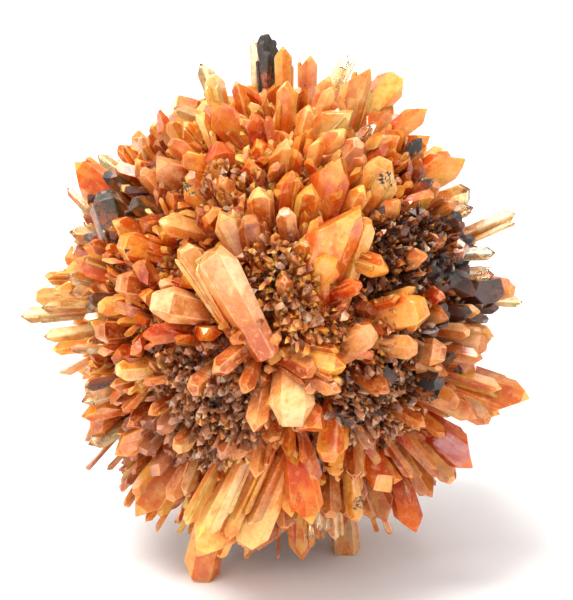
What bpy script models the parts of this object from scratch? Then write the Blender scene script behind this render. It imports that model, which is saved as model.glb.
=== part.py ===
"""A ball of creedite blades that grew together from one middle, as one solid, in metres with +Z up.

The blades of the front are read off the front view: right and up are millimetres from the ball's middle in a
plane across the line of sight, and toward is how far a tip comes out of that plane. The blades of the sides,
the back and the underside, which that view doesn't show, follow from a seeded rule.
"""
import math
import random
from dataclasses import dataclass

import bmesh
import bpy
from mathutils import Matrix, Vector
from mathutils.noise import noise

MM = 0.001

# The front view: the height it looks down from, and the distance it is taken from
VIEW_ELEVATION = math.radians(18.0)
VIEW_DISTANCE = 450.0 * MM

# The ball: how far its tips reach from the middle, and the grown-together middle itself
REACH_RIGHT = 35.0 * MM
REACH_BACK = 36.0 * MM
CORE_RADIUS = 26.0 * MM
CORE_LUMPS = 2.6 * MM
CORE_LUMP_SIZE = 9.0 * MM
CORE_BACK_SHIFT = 1.8 * MM
ROOT_RADIUS = 20.0 * MM
GROUND = -37.3 * MM

# The blades: their form at the root, and how far their lean follows the line from the middle
ROOT_WIDTH = 0.62
LONGEST_BLADE = 21.0 * MM
NOD_SHARE = 0.75
FLATNESS = 0.52
SIX_SIDED_FROM = 3.7 * MM
ON_BROAD_FACE = 0.06
BROADNESS = (1.0, 1.35)
UNEVEN_ROLL = 9.0

# The blades that the front view doesn't show
BACK_BLADES = 106
BACK_SEED = 12
BACK_START = -0.1
BACK_WIDTHS = (3.0 * MM, 8.0 * MM)
BACK_FLATNESS = (0.42, 0.66)
BACK_SHORTER = (0.88, 1.0)
NARROW_MORE_OFTEN = 1.6
UNEVEN_PLACE = 0.12
UNEVEN_AXIS = 0.22
UNEVEN_LEAN = (-0.5, 0.5)
RIM_REACH = 32.0 * MM
CLEAR_OF_GROUND = 1.2 * MM

POINT, ROOF, CHISEL, FLAT, STEP = "point", "roof", "chisel", "flat", "step"


@dataclass
class Blade:
    """A blade read off the front view, in millimetres and degrees.

    right and up place its tip and toward gives the tip's depth. bearing turns clockwise from straight up, and
    lean moves its point to the left (-1) or right (1). nod is how far it points at the viewer, roll turns its
    broad face away from the viewer, flat is its thickness for its width, and long is its length.
    """

    right: float
    up: float
    bearing: float
    width: float
    ending: str = POINT
    lean: float = 0.0
    toward: float = 0.0
    nod: float | None = None
    roll: float = 0.0
    flat: float = FLATNESS
    long: float | None = None


TOP = [
    Blade(-1.3, 37.0, 355, 3.2, STEP, -0.2, toward=0),
    Blade(-3.1, 36.2, 358, 1.4, POINT, toward=-1),
    Blade(-10.2, 33.1, 340, 2.8, POINT, -0.2, toward=-2),
    Blade(-8.8, 31.3, 345, 3.2, FLAT, 0.2, toward=6),
    Blade(-14.2, 26.8, 290, 2.3, POINT, toward=6, long=9),
    Blade(-5.5, 30.6, 345, 2.2, POINT, toward=10),
    Blade(-17.2, 24.9, 335, 3.2, POINT, 0.2, toward=4),
    Blade(-18.5, 22.8, 358, 1.4, FLAT, toward=6),
    Blade(-14.6, 24.8, 330, 2.4, FLAT, 0.5, toward=10),
    Blade(-12.8, 25.0, 322, 3.0, POINT, toward=12),
    Blade(-11.4, 25.8, 320, 3.0, POINT, 0.3, toward=9),
    Blade(-9.4, 27.2, 318, 5.4, ROOF, 0.3, toward=15, nod=22),
    Blade(-8.0, 22.2, 350, 4.6, POINT, toward=21, nod=38),
    Blade(-2.8, 26.1, 350, 3.2, POINT, toward=17),
    Blade(0.6, 22.3, 5, 4.2, ROOF, 0.5, toward=21),
    Blade(1.0, 35.4, 0, 2.8, POINT, toward=2),
    Blade(4.5, 34.2, 0, 2.8, POINT, 0.2, toward=5),
    Blade(7.4, 31.3, 15, 3.2, POINT, toward=8),
    Blade(9.9, 34.1, 25, 2.3, POINT, toward=-7),
    Blade(11.7, 32.6, 15, 4.4, ROOF, 0.6, toward=2),
    Blade(16.9, 31.3, 40, 4.8, FLAT, -0.6, toward=0),
    Blade(20.7, 27.0, 50, 3.6, POINT, 0.2, toward=2),
    Blade(15.9, 26.4, 30, 1.7, POINT, toward=8),
    Blade(7.8, 29.8, 25, 2.2, POINT, toward=12),
    Blade(9.9, 26.9, 45, 4.6, ROOF, 0.4, toward=14, nod=25),
    Blade(4.6, 27.3, 15, 2.4, POINT, toward=17),
    Blade(9.7, 23.9, 45, 3.2, POINT, toward=18, nod=28),
    Blade(13.0, 24.2, 38, 2.0, FLAT, toward=14),
    Blade(11.8, 22.3, 45, 3.6, CHISEL, toward=18),
    Blade(17.2, 22.9, 60, 3.6, POINT, toward=11),
    Blade(12.4, 20.2, 40, 2.2, POINT, toward=20),
    Blade(-2.6, 22.6, 340, 3.4, POINT, toward=20),
    Blade(-5.8, 26.4, 335, 2.6, POINT, toward=13),
    Blade(1.6, 30.6, 5, 3.0, POINT, toward=13),
]

UPPER_RIGHT = [
    Blade(15.2, 19.8, 25, 5.2, CHISEL, 0.3, toward=20, nod=20),
    Blade(17.2, 14.2, 45, 3.2, POINT, toward=20),
    Blade(8.4, 20.1, 15, 6.0, ROOF, 0.2, toward=23, nod=20),
    Blade(9.4, 13.9, 18, 7.6, ROOF, 0.62, toward=28.5, nod=20),
    Blade(7.8, 6.2, 30, 4.2, FLAT, 0.3, toward=28, nod=35),
    Blade(15.7, 4.2, 112, 3.6, POINT, toward=27, nod=30),
    Blade(21.1, 6.3, 85, 3.6, POINT, toward=22, nod=25),
    Blade(20.4, -0.9, 76, 5.8, FLAT, 0.1, toward=24, nod=30),
    Blade(23.5, 0.7, 95, 3.2, POINT, toward=18),
    Blade(23.9, -2.3, 108, 3.2, POINT, toward=18),
    Blade(25.6, 20.6, 55, 5.6, ROOF, 0.35, toward=4, nod=8),
    Blade(20.2, 22.7, 40, 2.2, POINT, toward=5),
    Blade(24.9, 13.7, 60, 3.2, POINT, toward=10),
    Blade(27.3, 13.1, 70, 2.2, POINT, toward=6),
    Blade(33.1, 12.3, 67, 2.5, POINT, toward=-1, nod=0),
    Blade(25.8, 10.7, 75, 2.0, FLAT, toward=14, nod=55),
    Blade(25.6, 11.9, 68, 3.2, CHISEL, toward=10),
    Blade(23.4, 8.6, 80, 3.2, POINT, toward=17),
    Blade(30.4, 6.8, 87, 2.3, POINT, toward=4),
    Blade(33.0, 1.5, 100, 3.4, CHISEL, toward=2),
    Blade(34.1, 0.0, 92, 1.8, POINT, toward=-2),
    Blade(18.6, 10.2, 60, 3.4, POINT, toward=21),
    Blade(22.4, 16.6, 52, 3.4, CHISEL, toward=12),
    Blade(13.4, 9.4, 50, 3.0, POINT, toward=24),
]

LOWER_RIGHT = [
    Blade(28.3, -1.3, 92, 2.2, POINT, toward=12),
    Blade(30.2, -4.8, 108, 2.6, POINT, toward=8),
    Blade(29.2, -6.0, 100, 4.0, CHISEL, toward=12),
    Blade(22.7, -7.0, 95, 4.2, FLAT, toward=21, nod=55),
    Blade(22.7, -11.2, 108, 3.2, FLAT, toward=20, nod=52),
    Blade(28.7, -7.8, 100, 2.6, POINT, toward=14),
    Blade(34.7, -14.2, 110, 5.8, ROOF, -0.3, toward=0, nod=4),
    Blade(28.1, -15.5, 113, 4.0, POINT, 0.3, toward=12),
    Blade(29.6, -16.4, 115, 3.0, CHISEL, toward=7),
    Blade(25.2, -14.0, 110, 3.6, CHISEL, toward=17),
    Blade(20.8, -17.2, 120, 2.4, POINT, toward=19),
    Blade(27.6, -22.4, 127, 5.8, ROOF, 0.2, toward=5, nod=12),
    Blade(22.2, -23.2, 140, 1.4, POINT, toward=11),
    Blade(18.9, -24.4, 145, 1.8, POINT, toward=14),
    Blade(18.9, -31.9, 165, 4.2, ROOF, -0.2, toward=1, nod=4),
    Blade(15.7, -30.3, 155, 4.2, POINT, 0.2, toward=4),
    Blade(11.0, -30.2, 175, 2.6, FLAT, toward=11),
    Blade(9.8, -36.4, 175, 4.4, ROOF, 0.1, toward=-12.8, nod=-16, flat=0.8),
    Blade(19.6, -6.4, 96, 3.6, CHISEL, toward=25, nod=40),
    Blade(15.8, -12.4, 120, 3.0, POINT, toward=24, nod=35),
    Blade(13.6, -20.4, 150, 2.6, POINT, toward=20),
]

BOTTOM = [
    Blade(4.4, -30.8, 172, 5.6, ROOF, -0.2, toward=14, nod=8),
    Blade(5.6, -33.2, 178, 2.8, POINT, toward=8),
    Blade(1.2, -31.3, 178, 2.4, FLAT, toward=10),
    Blade(-1.7, -34.4, 190, 5.2, ROOF, 0.3, toward=8, nod=4),
    Blade(-10.2, -35.4, 207, 6.4, ROOF, 0.2, toward=13, nod=6, flat=0.4, long=20),
    Blade(-4.3, -33.8, 205, 5.4, FLAT, 0.2, toward=13, nod=6, flat=0.42, long=20),
    Blade(-11.0, -39.6, 193, 5.6, ROOF, -0.1, toward=-3.2, nod=-5, flat=0.75, long=24),
    Blade(-12.6, -26.8, 200, 2.2, POINT, toward=13),
    Blade(-19.0, -30.0, 215, 5.6, POINT, 0.2, toward=1, nod=4),
    Blade(-2.8, -24.3, 190, 2.4, POINT, toward=19),
    Blade(7.4, -22.1, 185, 4.0, CHISEL, toward=22, nod=28),
    Blade(10.9, -24.7, 178, 2.4, POINT, toward=18),
    Blade(-7.6, -21.8, 205, 3.0, POINT, toward=21),
    Blade(-13.8, -20.6, 220, 3.0, CHISEL, toward=18),
]

LEFT = [
    Blade(-22.5, -20.8, 240, 4.2, POINT, -0.2, toward=6),
    Blade(-26.0, -19.7, 245, 2.8, POINT, toward=1),
    Blade(-27.0, -15.8, 258, 2.7, POINT, toward=5),
    Blade(-26.9, -13.8, 250, 2.4, POINT, toward=9),
    Blade(-26.3, -11.8, 255, 1.8, POINT, toward=12),
    Blade(-30.0, -9.9, 240, 2.4, POINT, toward=6),
    Blade(-28.5, -6.4, 272, 1.6, POINT, toward=11),
    Blade(-32.1, -4.8, 262, 2.4, POINT, toward=4),
    Blade(-35.3, -2.0, 265, 2.5, POINT, toward=-1, nod=0),
    Blade(-33.2, 0.8, 272, 3.0, FLAT, 0.2, toward=2),
    Blade(-28.9, 3.6, 285, 2.2, POINT, toward=8),
    Blade(-28.6, 9.7, 280, 2.6, POINT, toward=5),
    Blade(-28.2, 18.6, 305, 5.4, ROOF, 0.3, toward=-1, nod=0),
    Blade(-28.8, 15.8, 318, 1.5, POINT, toward=3),
    Blade(-24.7, 20.3, 305, 2.0, POINT, toward=-5),
    Blade(-19.4, 19.9, 325, 3.2, POINT, toward=9),
    Blade(-23.7, 15.0, 345, 5.4, FLAT, 0.0, toward=12, nod=15, flat=0.7),
    Blade(-20.0, 13.8, 290, 3.2, CHISEL, toward=17),
    Blade(-15.9, 20.3, 322, 6.4, ROOF, -0.2, toward=17, nod=20),
    Blade(-16.2, 11.2, 285, 3.6, POINT, toward=23, nod=28),
    Blade(-21.3, 8.3, 288, 4.2, FLAT, 0.2, toward=20, nod=26),
    Blade(-25.9, 8.1, 290, 2.4, POINT, toward=13),
    Blade(-27.5, 6.0, 290, 4.2, ROOF, toward=10, nod=12),
    Blade(-21.4, 2.6, 280, 4.8, FLAT, toward=20, nod=34),
    Blade(-24.4, -4.0, 268, 3.8, FLAT, toward=17, nod=40),
    Blade(-26.2, 0.4, 272, 2.4, POINT, toward=14),
    Blade(-24.5, -0.8, 262, 3.0, CHISEL, toward=17),
    Blade(-18.4, -4.6, 265, 3.2, POINT, toward=23, nod=28),
    Blade(-21.9, -9.4, 266, 3.6, FLAT, -0.2, toward=18, nod=18),
    Blade(-22.9, -11.6, 258, 2.0, POINT, toward=15),
    Blade(-17.6, -15.6, 235, 2.2, POINT, toward=18),
    Blade(-20.6, -17.2, 238, 3.0, POINT, toward=12),
]

MIDDLE = [
    Blade(-9.0, 6.9, 331, 6.2, FLAT, -0.5, toward=29, nod=14, roll=-24, flat=0.5, long=16),
    Blade(-12.6, 7.6, 328, 4.2, FLAT, 0.2, toward=26, nod=16),
    Blade(-16.0, 0.0, 282, 5.4, FLAT, 0.15, toward=26, nod=42, flat=0.7),
    Blade(-11.8, -12.4, 232, 3.6, CHISEL, toward=24, nod=35),
    Blade(-8.7, -9.9, 230, 3.2, POINT, toward=27, nod=30),
    Blade(-3.0, -18.0, 192, 3.4, POINT, toward=25, nod=25),
    Blade(2.4, -16.2, 178, 6.6, FLAT, -0.2, toward=26.5, nod=36, flat=0.5, long=11),
    Blade(9.8, -8.9, 100, 4.4, POINT, toward=28, nod=32),
    Blade(9.1, -12.4, 118, 3.2, POINT, toward=28, nod=32),
    Blade(13.6, -3.6, 52, 4.0, CHISEL, toward=28, nod=40),
    Blade(6.6, -17.6, 130, 4.6, ROOF, toward=25, nod=28),
    Blade(1.3, 12.6, 350, 3.0, FLAT, toward=27, nod=45),
    Blade(-3.5, 11.6, 352, 3.8, FLAT, toward=27, nod=32),
    Blade(-7.5, 12.4, 332, 4.2, ROOF, toward=26, nod=28),
    Blade(-11.0, 13.2, 318, 3.6, POINT, toward=23, nod=28),
    Blade(-2.3, 16.0, 355, 4.0, POINT, toward=25, nod=30),
    Blade(2.4, 18.2, 8, 4.2, POINT, toward=24, nod=28),
    Blade(-7.6, 17.6, 338, 3.0, POINT, toward=23, nod=28),
    Blade(1.2, 3.8, 355, 2.6, POINT, toward=28, nod=45),
    Blade(12.0, 2.6, 70, 2.8, POINT, toward=28, nod=40),
    Blade(3.4, -3.4, 140, 2.8, POINT, toward=28, nod=50),
    Blade(-6.0, -5.6, 225, 2.8, POINT, toward=28, nod=50),
]

# Feet of the underside, set back where the front view doesn't reach, as a place on the ground in millimetres
BACK_FEET = [(-6.5, 11.0, 6.0), (9.6, 9.6, 5.4)]
FOOT_DEPTH = 0.6 * MM
FOOT_FLATNESS = 0.7
FOOT_LEAN = 0.1
FOOT_BROADNESS = 1.2


def clear_scene():
    for obj in list(bpy.data.objects):
        bpy.data.objects.remove(obj, do_unlink=True)


def new_collection(name):
    collection = bpy.data.collections.new(name)
    bpy.context.scene.collection.children.link(collection)
    return collection


def creedite_material():
    material = bpy.data.materials.new("creedite")
    material.use_nodes = True
    shader = material.node_tree.nodes["Principled BSDF"]
    shader.inputs["Base Color"].default_value = (0.84, 0.29, 0.06, 1.0)
    shader.inputs["Roughness"].default_value = 0.22
    shader.inputs["Metallic"].default_value = 0.0
    material.diffuse_color = (0.84, 0.29, 0.06, 1.0)
    return material


def from_view(right, up, toward):
    """The place of a point of the front view, from the ball's middle, in the part's own axes."""
    nearer = (VIEW_DISTANCE - toward) / VIEW_DISTANCE
    across = Vector((right * nearer, 0.0, 0.0))
    rise = up * nearer * Vector((0.0, math.sin(VIEW_ELEVATION), math.cos(VIEW_ELEVATION)))
    return across + rise + toward * toward_viewer()


def toward_viewer():
    return Vector((0.0, -math.cos(VIEW_ELEVATION), math.sin(VIEW_ELEVATION)))


def view_direction(bearing, nod):
    """The direction that points at a bearing of the front view and nods toward the viewer."""
    flat = Vector((math.sin(bearing), 0.0, 0.0))
    flat += math.cos(bearing) * Vector((0.0, math.sin(VIEW_ELEVATION), math.cos(VIEW_ELEVATION)))
    return flat * math.cos(nod) + toward_viewer() * math.sin(nod)


def length_to_root(tip, axis):
    """How long a blade is from its tip to the middle of the ball, where it is rooted."""
    back_to_closest = tip.dot(axis)
    closest = (tip - back_to_closest * axis).length
    short = math.sqrt(max(ROOT_RADIUS ** 2 - closest ** 2, 0.0))
    return min(back_to_closest - short, LONGEST_BLADE)


def ending_facets(ending, lean):
    """The facets that end a blade: tilt across its width and thickness in degrees, and where they start."""
    far = 52 - 4 * abs(lean)
    near = 52 + 24 * abs(lean)
    left, right = (far, near) if lean >= 0 else (near, far)
    if ending == POINT:
        return [(-left, 0, lean, 0), (right, 0, lean, 0), (0, 46, 0, 0.1), (0, -50, 0, -0.1)]
    if ending == ROOF:
        return [(4 - left, 8, lean, 0), (right, 8, lean, 0), (0, -52, 0, -0.45)]
    if ending == CHISEL:
        return [(8 * lean, 50, 0, 0.1), (8 * lean, -44, 0, -0.1), (58, 0, 0.35, 0), (-58, 0, -0.35, 0)]
    if ending == STEP:
        return [(-14, -12, 0, 0), (62, 10, 0.1, 0), (-60, -10, -0.5, 0)]
    return [(24 * lean, -12, 0, 0), (56, 0, 0.4, 0), (-56, 0, -0.4, 0)]


def cut_off(shape, point, normal):
    """Takes away what lies past a plane and closes the solid with a facet there."""
    geometry = shape.verts[:] + shape.edges[:] + shape.faces[:]
    cut = bmesh.ops.bisect_plane(
        shape, geom=geometry, dist=1e-7, plane_co=point, plane_no=normal, clear_outer=True
    )
    rim = [item for item in cut["geom_cut"] if isinstance(item, bmesh.types.BMEdge)]
    if len(rim) > 2:
        bmesh.ops.contextual_create(shape, geom=rim)


def blade_shape(width, thick, length, ending, lean, broad):
    """A closed six-sided blade along +Z with its root at the origin, narrower there than at its end."""
    shape = bmesh.new()
    sides = 6 if width > SIX_SIDED_FROM else 4
    bmesh.ops.create_cone(
        shape, cap_ends=True, segments=sides, radius1=ROOT_WIDTH / 2, radius2=0.5, depth=length
    )
    bmesh.ops.rotate(shape, verts=shape.verts, matrix=Matrix.Rotation(math.radians(90), 3, "Z"))
    for vert in shape.verts:
        on_broad_face = abs(vert.co.y) > ON_BROAD_FACE
        vert.co.x *= width * (broad if on_broad_face else 1.0)
        vert.co.y *= thick / math.cos(math.radians(30))
        vert.co.z += length / 2
    for tilt_x, tilt_y, start_x, start_y in ending_facets(ending, lean):
        normal = Vector((math.tan(math.radians(tilt_x)), math.tan(math.radians(tilt_y)), 1.0))
        start = Vector((start_x * width / 2, start_y * thick / 2, length))
        cut_off(shape, start, normal.normalized())
    return shape


def stand_on(shape, tip, axis, face, length):
    """Turns a blade so that it ends at its tip and its broad face looks along face."""
    side = axis.cross(face).normalized()
    away = axis.cross(side)
    turn = Matrix((side, away, axis)).transposed().to_4x4()
    turn.translation = tip - axis * length
    bmesh.ops.transform(shape, matrix=turn, verts=shape.verts)
    if min(vert.co.z for vert in shape.verts) < GROUND:
        cut_off(shape, Vector((0.0, 0.0, GROUND)), Vector((0.0, 0.0, -1.0)))
    bmesh.ops.recalc_face_normals(shape, faces=shape.faces)
    return shape


def front_blade(blade, chance):
    """A blade of the front view, as a closed shape in its place."""
    tip = from_view(blade.right * MM, blade.up * MM, blade.toward * MM)
    nod = blade.nod
    if nod is None:
        nod = NOD_SHARE * math.degrees(math.atan2(blade.toward, math.hypot(blade.right, blade.up)))
    axis = view_direction(math.radians(blade.bearing), math.radians(nod))
    length = length_to_root(tip, axis) if blade.long is None else blade.long * MM
    width = blade.width * MM
    broad = chance.uniform(*BROADNESS)
    shape = blade_shape(width, width * blade.flat, length, blade.ending, blade.lean, broad)
    roll = blade.roll + chance.uniform(-UNEVEN_ROLL, UNEVEN_ROLL)
    face = toward_viewer() - toward_viewer().project(axis)
    face = Matrix.Rotation(math.radians(roll), 3, axis) @ face
    return stand_on(shape, tip, axis, face, length)


def spread_directions(count):
    """Directions spread evenly over a ball, along one spiral."""
    golden = math.pi * (3.0 - math.sqrt(5.0))
    for index in range(count):
        height = 1.0 - 2.0 * (index + 0.5) / count
        ring = math.sqrt(1.0 - height * height)
        yield Vector((ring * math.cos(golden * index), height, ring * math.sin(golden * index)))


def unseen_reach(direction):
    """How far the ball reaches on its unseen side, where it stays inside the front view's outline."""
    forward = direction.dot(toward_viewer())
    outward = math.sqrt(max(1.0 - forward * forward, 1e-6))
    ball = 1.0 / math.sqrt((outward / REACH_RIGHT) ** 2 + (forward / REACH_BACK) ** 2)
    return min(ball, RIM_REACH / outward)


def wander(chance):
    return Vector((chance.uniform(-1, 1), chance.uniform(-1, 1), chance.uniform(-1, 1)))


def back_blades(chance):
    """The blades of the sides, the back and the underside."""
    shapes = []
    for direction in spread_directions(2 * BACK_BLADES):
        if direction.dot(toward_viewer()) > -BACK_START:
            continue
        direction = (direction + UNEVEN_PLACE * wander(chance)).normalized()
        tip = direction * unseen_reach(direction) * chance.uniform(*BACK_SHORTER)
        tip.z = max(tip.z, GROUND + CLEAR_OF_GROUND)
        axis = (direction + UNEVEN_AXIS * wander(chance)).normalized()
        low, high = BACK_WIDTHS
        width = low + (high - low) * chance.random() ** NARROW_MORE_OFTEN
        ending = chance.choice([POINT, POINT, ROOF, ROOF, CHISEL, FLAT])
        length = length_to_root(tip, axis)
        lean = chance.uniform(*UNEVEN_LEAN)
        thick = width * chance.uniform(*BACK_FLATNESS)
        shape = blade_shape(width, thick, length, ending, lean, chance.uniform(*BROADNESS))
        face = Matrix.Rotation(chance.uniform(0.0, math.tau), 3, axis) @ axis.orthogonal().normalized()
        shapes.append(stand_on(shape, tip, axis, face, length))
    return shapes


def back_feet():
    """The two feet that the front view doesn't show, each cut flat by the ground that it stands on."""
    shapes = []
    for right, back, width in BACK_FEET:
        tip = Vector((right * MM, back * MM, GROUND - FOOT_DEPTH))
        axis = tip.normalized()
        length = length_to_root(tip, axis)
        thick = width * MM * FOOT_FLATNESS
        shape = blade_shape(width * MM, thick, length, ROOF, FOOT_LEAN, FOOT_BROADNESS)
        shapes.append(stand_on(shape, tip, axis, axis.orthogonal().normalized(), length))
    return shapes


def core_shape():
    """The lumpy middle, where the roots of the blades are grown together."""
    shape = bmesh.new()
    bmesh.ops.create_icosphere(shape, subdivisions=2, radius=CORE_RADIUS)
    for vert in shape.verts:
        lumps = noise(vert.co / CORE_LUMP_SIZE) * CORE_LUMPS
        vert.co += vert.co.normalized() * lumps
        vert.co.y += CORE_BACK_SHIFT
    return shape


def as_object(shape, name, collection):
    mesh = bpy.data.meshes.new(name)
    shape.to_mesh(mesh)
    shape.free()
    obj = bpy.data.objects.new(name, mesh)
    collection.objects.link(obj)
    return obj


def joined_mesh(core, blades):
    """The mesh of the core and all its blades, grown together."""
    union = core.modifiers.new("grown together", "BOOLEAN")
    union.operation = "UNION"
    union.solver = "EXACT"
    union.operand_type = "COLLECTION"
    union.collection = blades
    graph = bpy.context.evaluated_depsgraph_get()
    mesh = bpy.data.meshes.new_from_object(core.evaluated_get(graph))
    core.modifiers.remove(union)
    return mesh


def islands(shape):
    """The sets of faces that hang together."""
    left = set(shape.faces)
    found = []
    while left:
        queue = [left.pop()]
        island = list(queue)
        while queue:
            face = queue.pop()
            near = {other for edge in face.edges for other in edge.link_faces} & left
            left -= near
            queue.extend(near)
            island.extend(near)
        found.append(island)
    return found


def keep_outside(mesh):
    """Takes away the small hollows that the blades close off between them, and leaves the outside."""
    shape = bmesh.new()
    shape.from_mesh(mesh)
    bmesh.ops.remove_doubles(shape, verts=shape.verts, dist=1e-6)
    bmesh.ops.triangulate(shape, faces=shape.faces)
    inner = sorted(islands(shape), key=len)[:-1]
    for island in inner:
        bmesh.ops.delete(shape, geom=island, context="FACES")
    return shape


def stand_at_origin(shape):
    """Moves the solid so that the middle of its lowest side is at the origin."""
    places = [vert.co for vert in shape.verts]
    middle = [(min(p[axis] for p in places) + max(p[axis] for p in places)) / 2 for axis in (0, 1)]
    bmesh.ops.translate(shape, verts=shape.verts, vec=Vector((-middle[0], -middle[1], -GROUND)))


def main():
    clear_scene()
    cluster = new_collection("creedite cluster")
    guides = new_collection("blades before they are joined")
    chance = random.Random(BACK_SEED)
    front = TOP + UPPER_RIGHT + LOWER_RIGHT + BOTTOM + LEFT + MIDDLE
    shapes = [front_blade(blade, chance) for blade in front]
    shapes += back_blades(chance) + back_feet()
    for number, shape in enumerate(shapes):
        as_object(shape, f"blade {number}", guides)
    core = as_object(core_shape(), "core", guides)
    guides.objects.unlink(core)
    cluster.objects.link(core)
    bpy.context.view_layer.update()
    shape = keep_outside(joined_mesh(core, guides))
    bpy.data.objects.remove(core)
    stand_at_origin(shape)
    solid = as_object(shape, "creedite_cluster", cluster)
    solid.data.materials.append(creedite_material())
    for guide in guides.objects:
        guide.hide_render = True
        guide.display_type = "WIRE"


main()
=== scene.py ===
import math
import random
from dataclasses import dataclass

import bmesh
import bpy
import numpy as np
from mathutils import Matrix, Vector
from mathutils.noise import noise


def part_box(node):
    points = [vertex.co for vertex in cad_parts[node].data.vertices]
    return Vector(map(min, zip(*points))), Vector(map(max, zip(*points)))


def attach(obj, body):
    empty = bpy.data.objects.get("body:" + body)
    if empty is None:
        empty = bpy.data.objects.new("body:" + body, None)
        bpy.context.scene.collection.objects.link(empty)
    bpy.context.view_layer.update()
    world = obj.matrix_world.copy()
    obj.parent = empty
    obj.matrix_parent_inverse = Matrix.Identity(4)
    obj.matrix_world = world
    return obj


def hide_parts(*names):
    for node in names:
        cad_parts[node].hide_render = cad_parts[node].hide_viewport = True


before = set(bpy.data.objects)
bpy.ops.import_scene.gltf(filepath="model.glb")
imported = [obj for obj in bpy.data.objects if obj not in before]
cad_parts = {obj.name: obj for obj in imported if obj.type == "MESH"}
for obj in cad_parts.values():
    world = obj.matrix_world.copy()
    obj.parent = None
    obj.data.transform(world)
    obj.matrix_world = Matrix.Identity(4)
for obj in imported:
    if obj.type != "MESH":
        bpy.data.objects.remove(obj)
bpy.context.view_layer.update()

NODE = "creedite_cluster"
BOX_LOW, BOX_HIGH = (Vector(corner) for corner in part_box(NODE))
MM = 0.001

# The front view: the height it looks down from, the distance it is taken from, and what it frames
VIEW_ELEVATION = math.radians(18.0)
VIEW_DISTANCE = 450.0 * MM
FRAME_HEIGHT = 82.76 * MM
FRAME_MIDDLE = (1.45 * MM, 0.28 * MM)
SENSOR = 36.0
NEAREST_SEEN = 10.0 * MM

# The ball: how far its tips reach from the middle, and the grown-together middle itself
REACH_RIGHT = 35.0 * MM
REACH_UP = 37.0 * MM
REACH_FRONT = 30.0 * MM
REACH_BACK = 36.0 * MM
CORE_RADIUS = 26.0 * MM
CORE_LUMPS = 2.6 * MM
CORE_LUMP_SIZE = 9.0 * MM
CORE_BACK_SHIFT = 1.8 * MM
ROOT_RADIUS = 20.0 * MM
GROUND = -37.3 * MM

# The blades: their form at the root, and how far their lean follows the line from the middle
ROOT_WIDTH = 0.62
LONGEST_BLADE = 21.0 * MM
NOD_SHARE = 0.75
FLATNESS = 0.52
SIX_SIDED_FROM = 3.7 * MM
ON_BROAD_FACE = 0.06
BROADNESS = (1.0, 1.35)
UNEVEN_ROLL = 9.0

# The blades that the front view doesn't show
BACK_BLADES = 106
BACK_SEED = 12
BACK_START = -0.1
BACK_WIDTHS = (3.0 * MM, 8.0 * MM)
BACK_FLATNESS = (0.42, 0.66)
BACK_SHORTER = (0.88, 1.0)
NARROW_MORE_OFTEN = 1.6
UNEVEN_PLACE = 0.12
UNEVEN_AXIS = 0.22
UNEVEN_LEAN = (-0.5, 0.5)
RIM_REACH = 32.0 * MM
CLEAR_OF_GROUND = 1.2 * MM

EDGE = 1
POINT, ROOF, CHISEL, FLAT, STEP = "point", "roof", "chisel", "flat", "step"


@dataclass
class Blade:
    """A blade read off the front view, in millimetres and degrees.

    right and up place its tip, bearing turns clockwise from straight up, and lean moves its point to the
    left (-1) or right (1). toward is the tip's own depth, nod is how far it points at the viewer, and roll
    turns its broad face away from the viewer. tone names its colours.
    """

    right: float
    up: float
    bearing: float
    width: float
    tone: str
    ending: str = POINT
    lean: float = 0.0
    toward: float = 0.0
    nod: float | None = None
    roll: float = 0.0
    flat: float = FLATNESS
    long: float | None = None


@dataclass
class Tone:
    """The colours of a blade's body and its tip, how clear it is, and how much black it holds."""

    body: tuple
    tip: tuple
    clear: float
    soot: float = 0.0


TONES = {
    "flame": Tone((0.88, 0.15, 0.007), (0.99, 0.41, 0.050), 0.20),
    "ember": Tone((0.58, 0.05, 0.004), (0.86, 0.20, 0.022), 0.22),
    "amber": Tone((0.84, 0.205, 0.012), (0.99, 0.47, 0.075), 0.20),
    "peach": Tone((0.90, 0.30, 0.040), (1.00, 0.58, 0.180), 0.14),
    "honey": Tone((0.93, 0.32, 0.030), (1.00, 0.61, 0.150), 0.14),
    "rose": Tone((0.84, 0.31, 0.090), (0.97, 0.60, 0.330), 0.15),
    "tan": Tone((0.56, 0.145, 0.026), (0.82, 0.37, 0.115), 0.14, 0.12),
    "rust": Tone((0.44, 0.08, 0.010), (0.76, 0.27, 0.045), 0.22, 0.10),
    "umber": Tone((0.085, 0.024, 0.010), (0.21, 0.070, 0.026), 0.18, 0.45),
    "smoke": Tone((0.58, 0.20, 0.030), (0.045, 0.033, 0.022), 0.12, 0.70),
    "dome": Tone((0.46, 0.15, 0.024), (0.085, 0.060, 0.028), 0.10, 0.42),
    "plum": Tone((0.40, 0.12, 0.050), (0.66, 0.30, 0.150), 0.25, 0.12),
    "sugar": Tone((0.62, 0.26, 0.120), (0.92, 0.62, 0.420), 0.35),
    "cream": Tone((0.90, 0.38, 0.110), (1.00, 0.62, 0.290), 0.12),
    "pale": Tone((0.90, 0.33, 0.050), (1.00, 0.72, 0.400), 0.14),
    "lemon": Tone((0.99, 0.52, 0.130), (1.00, 0.84, 0.500), 0.60),
    "clear": Tone((0.95, 0.58, 0.220), (1.00, 0.90, 0.680), 0.78),
}

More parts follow.
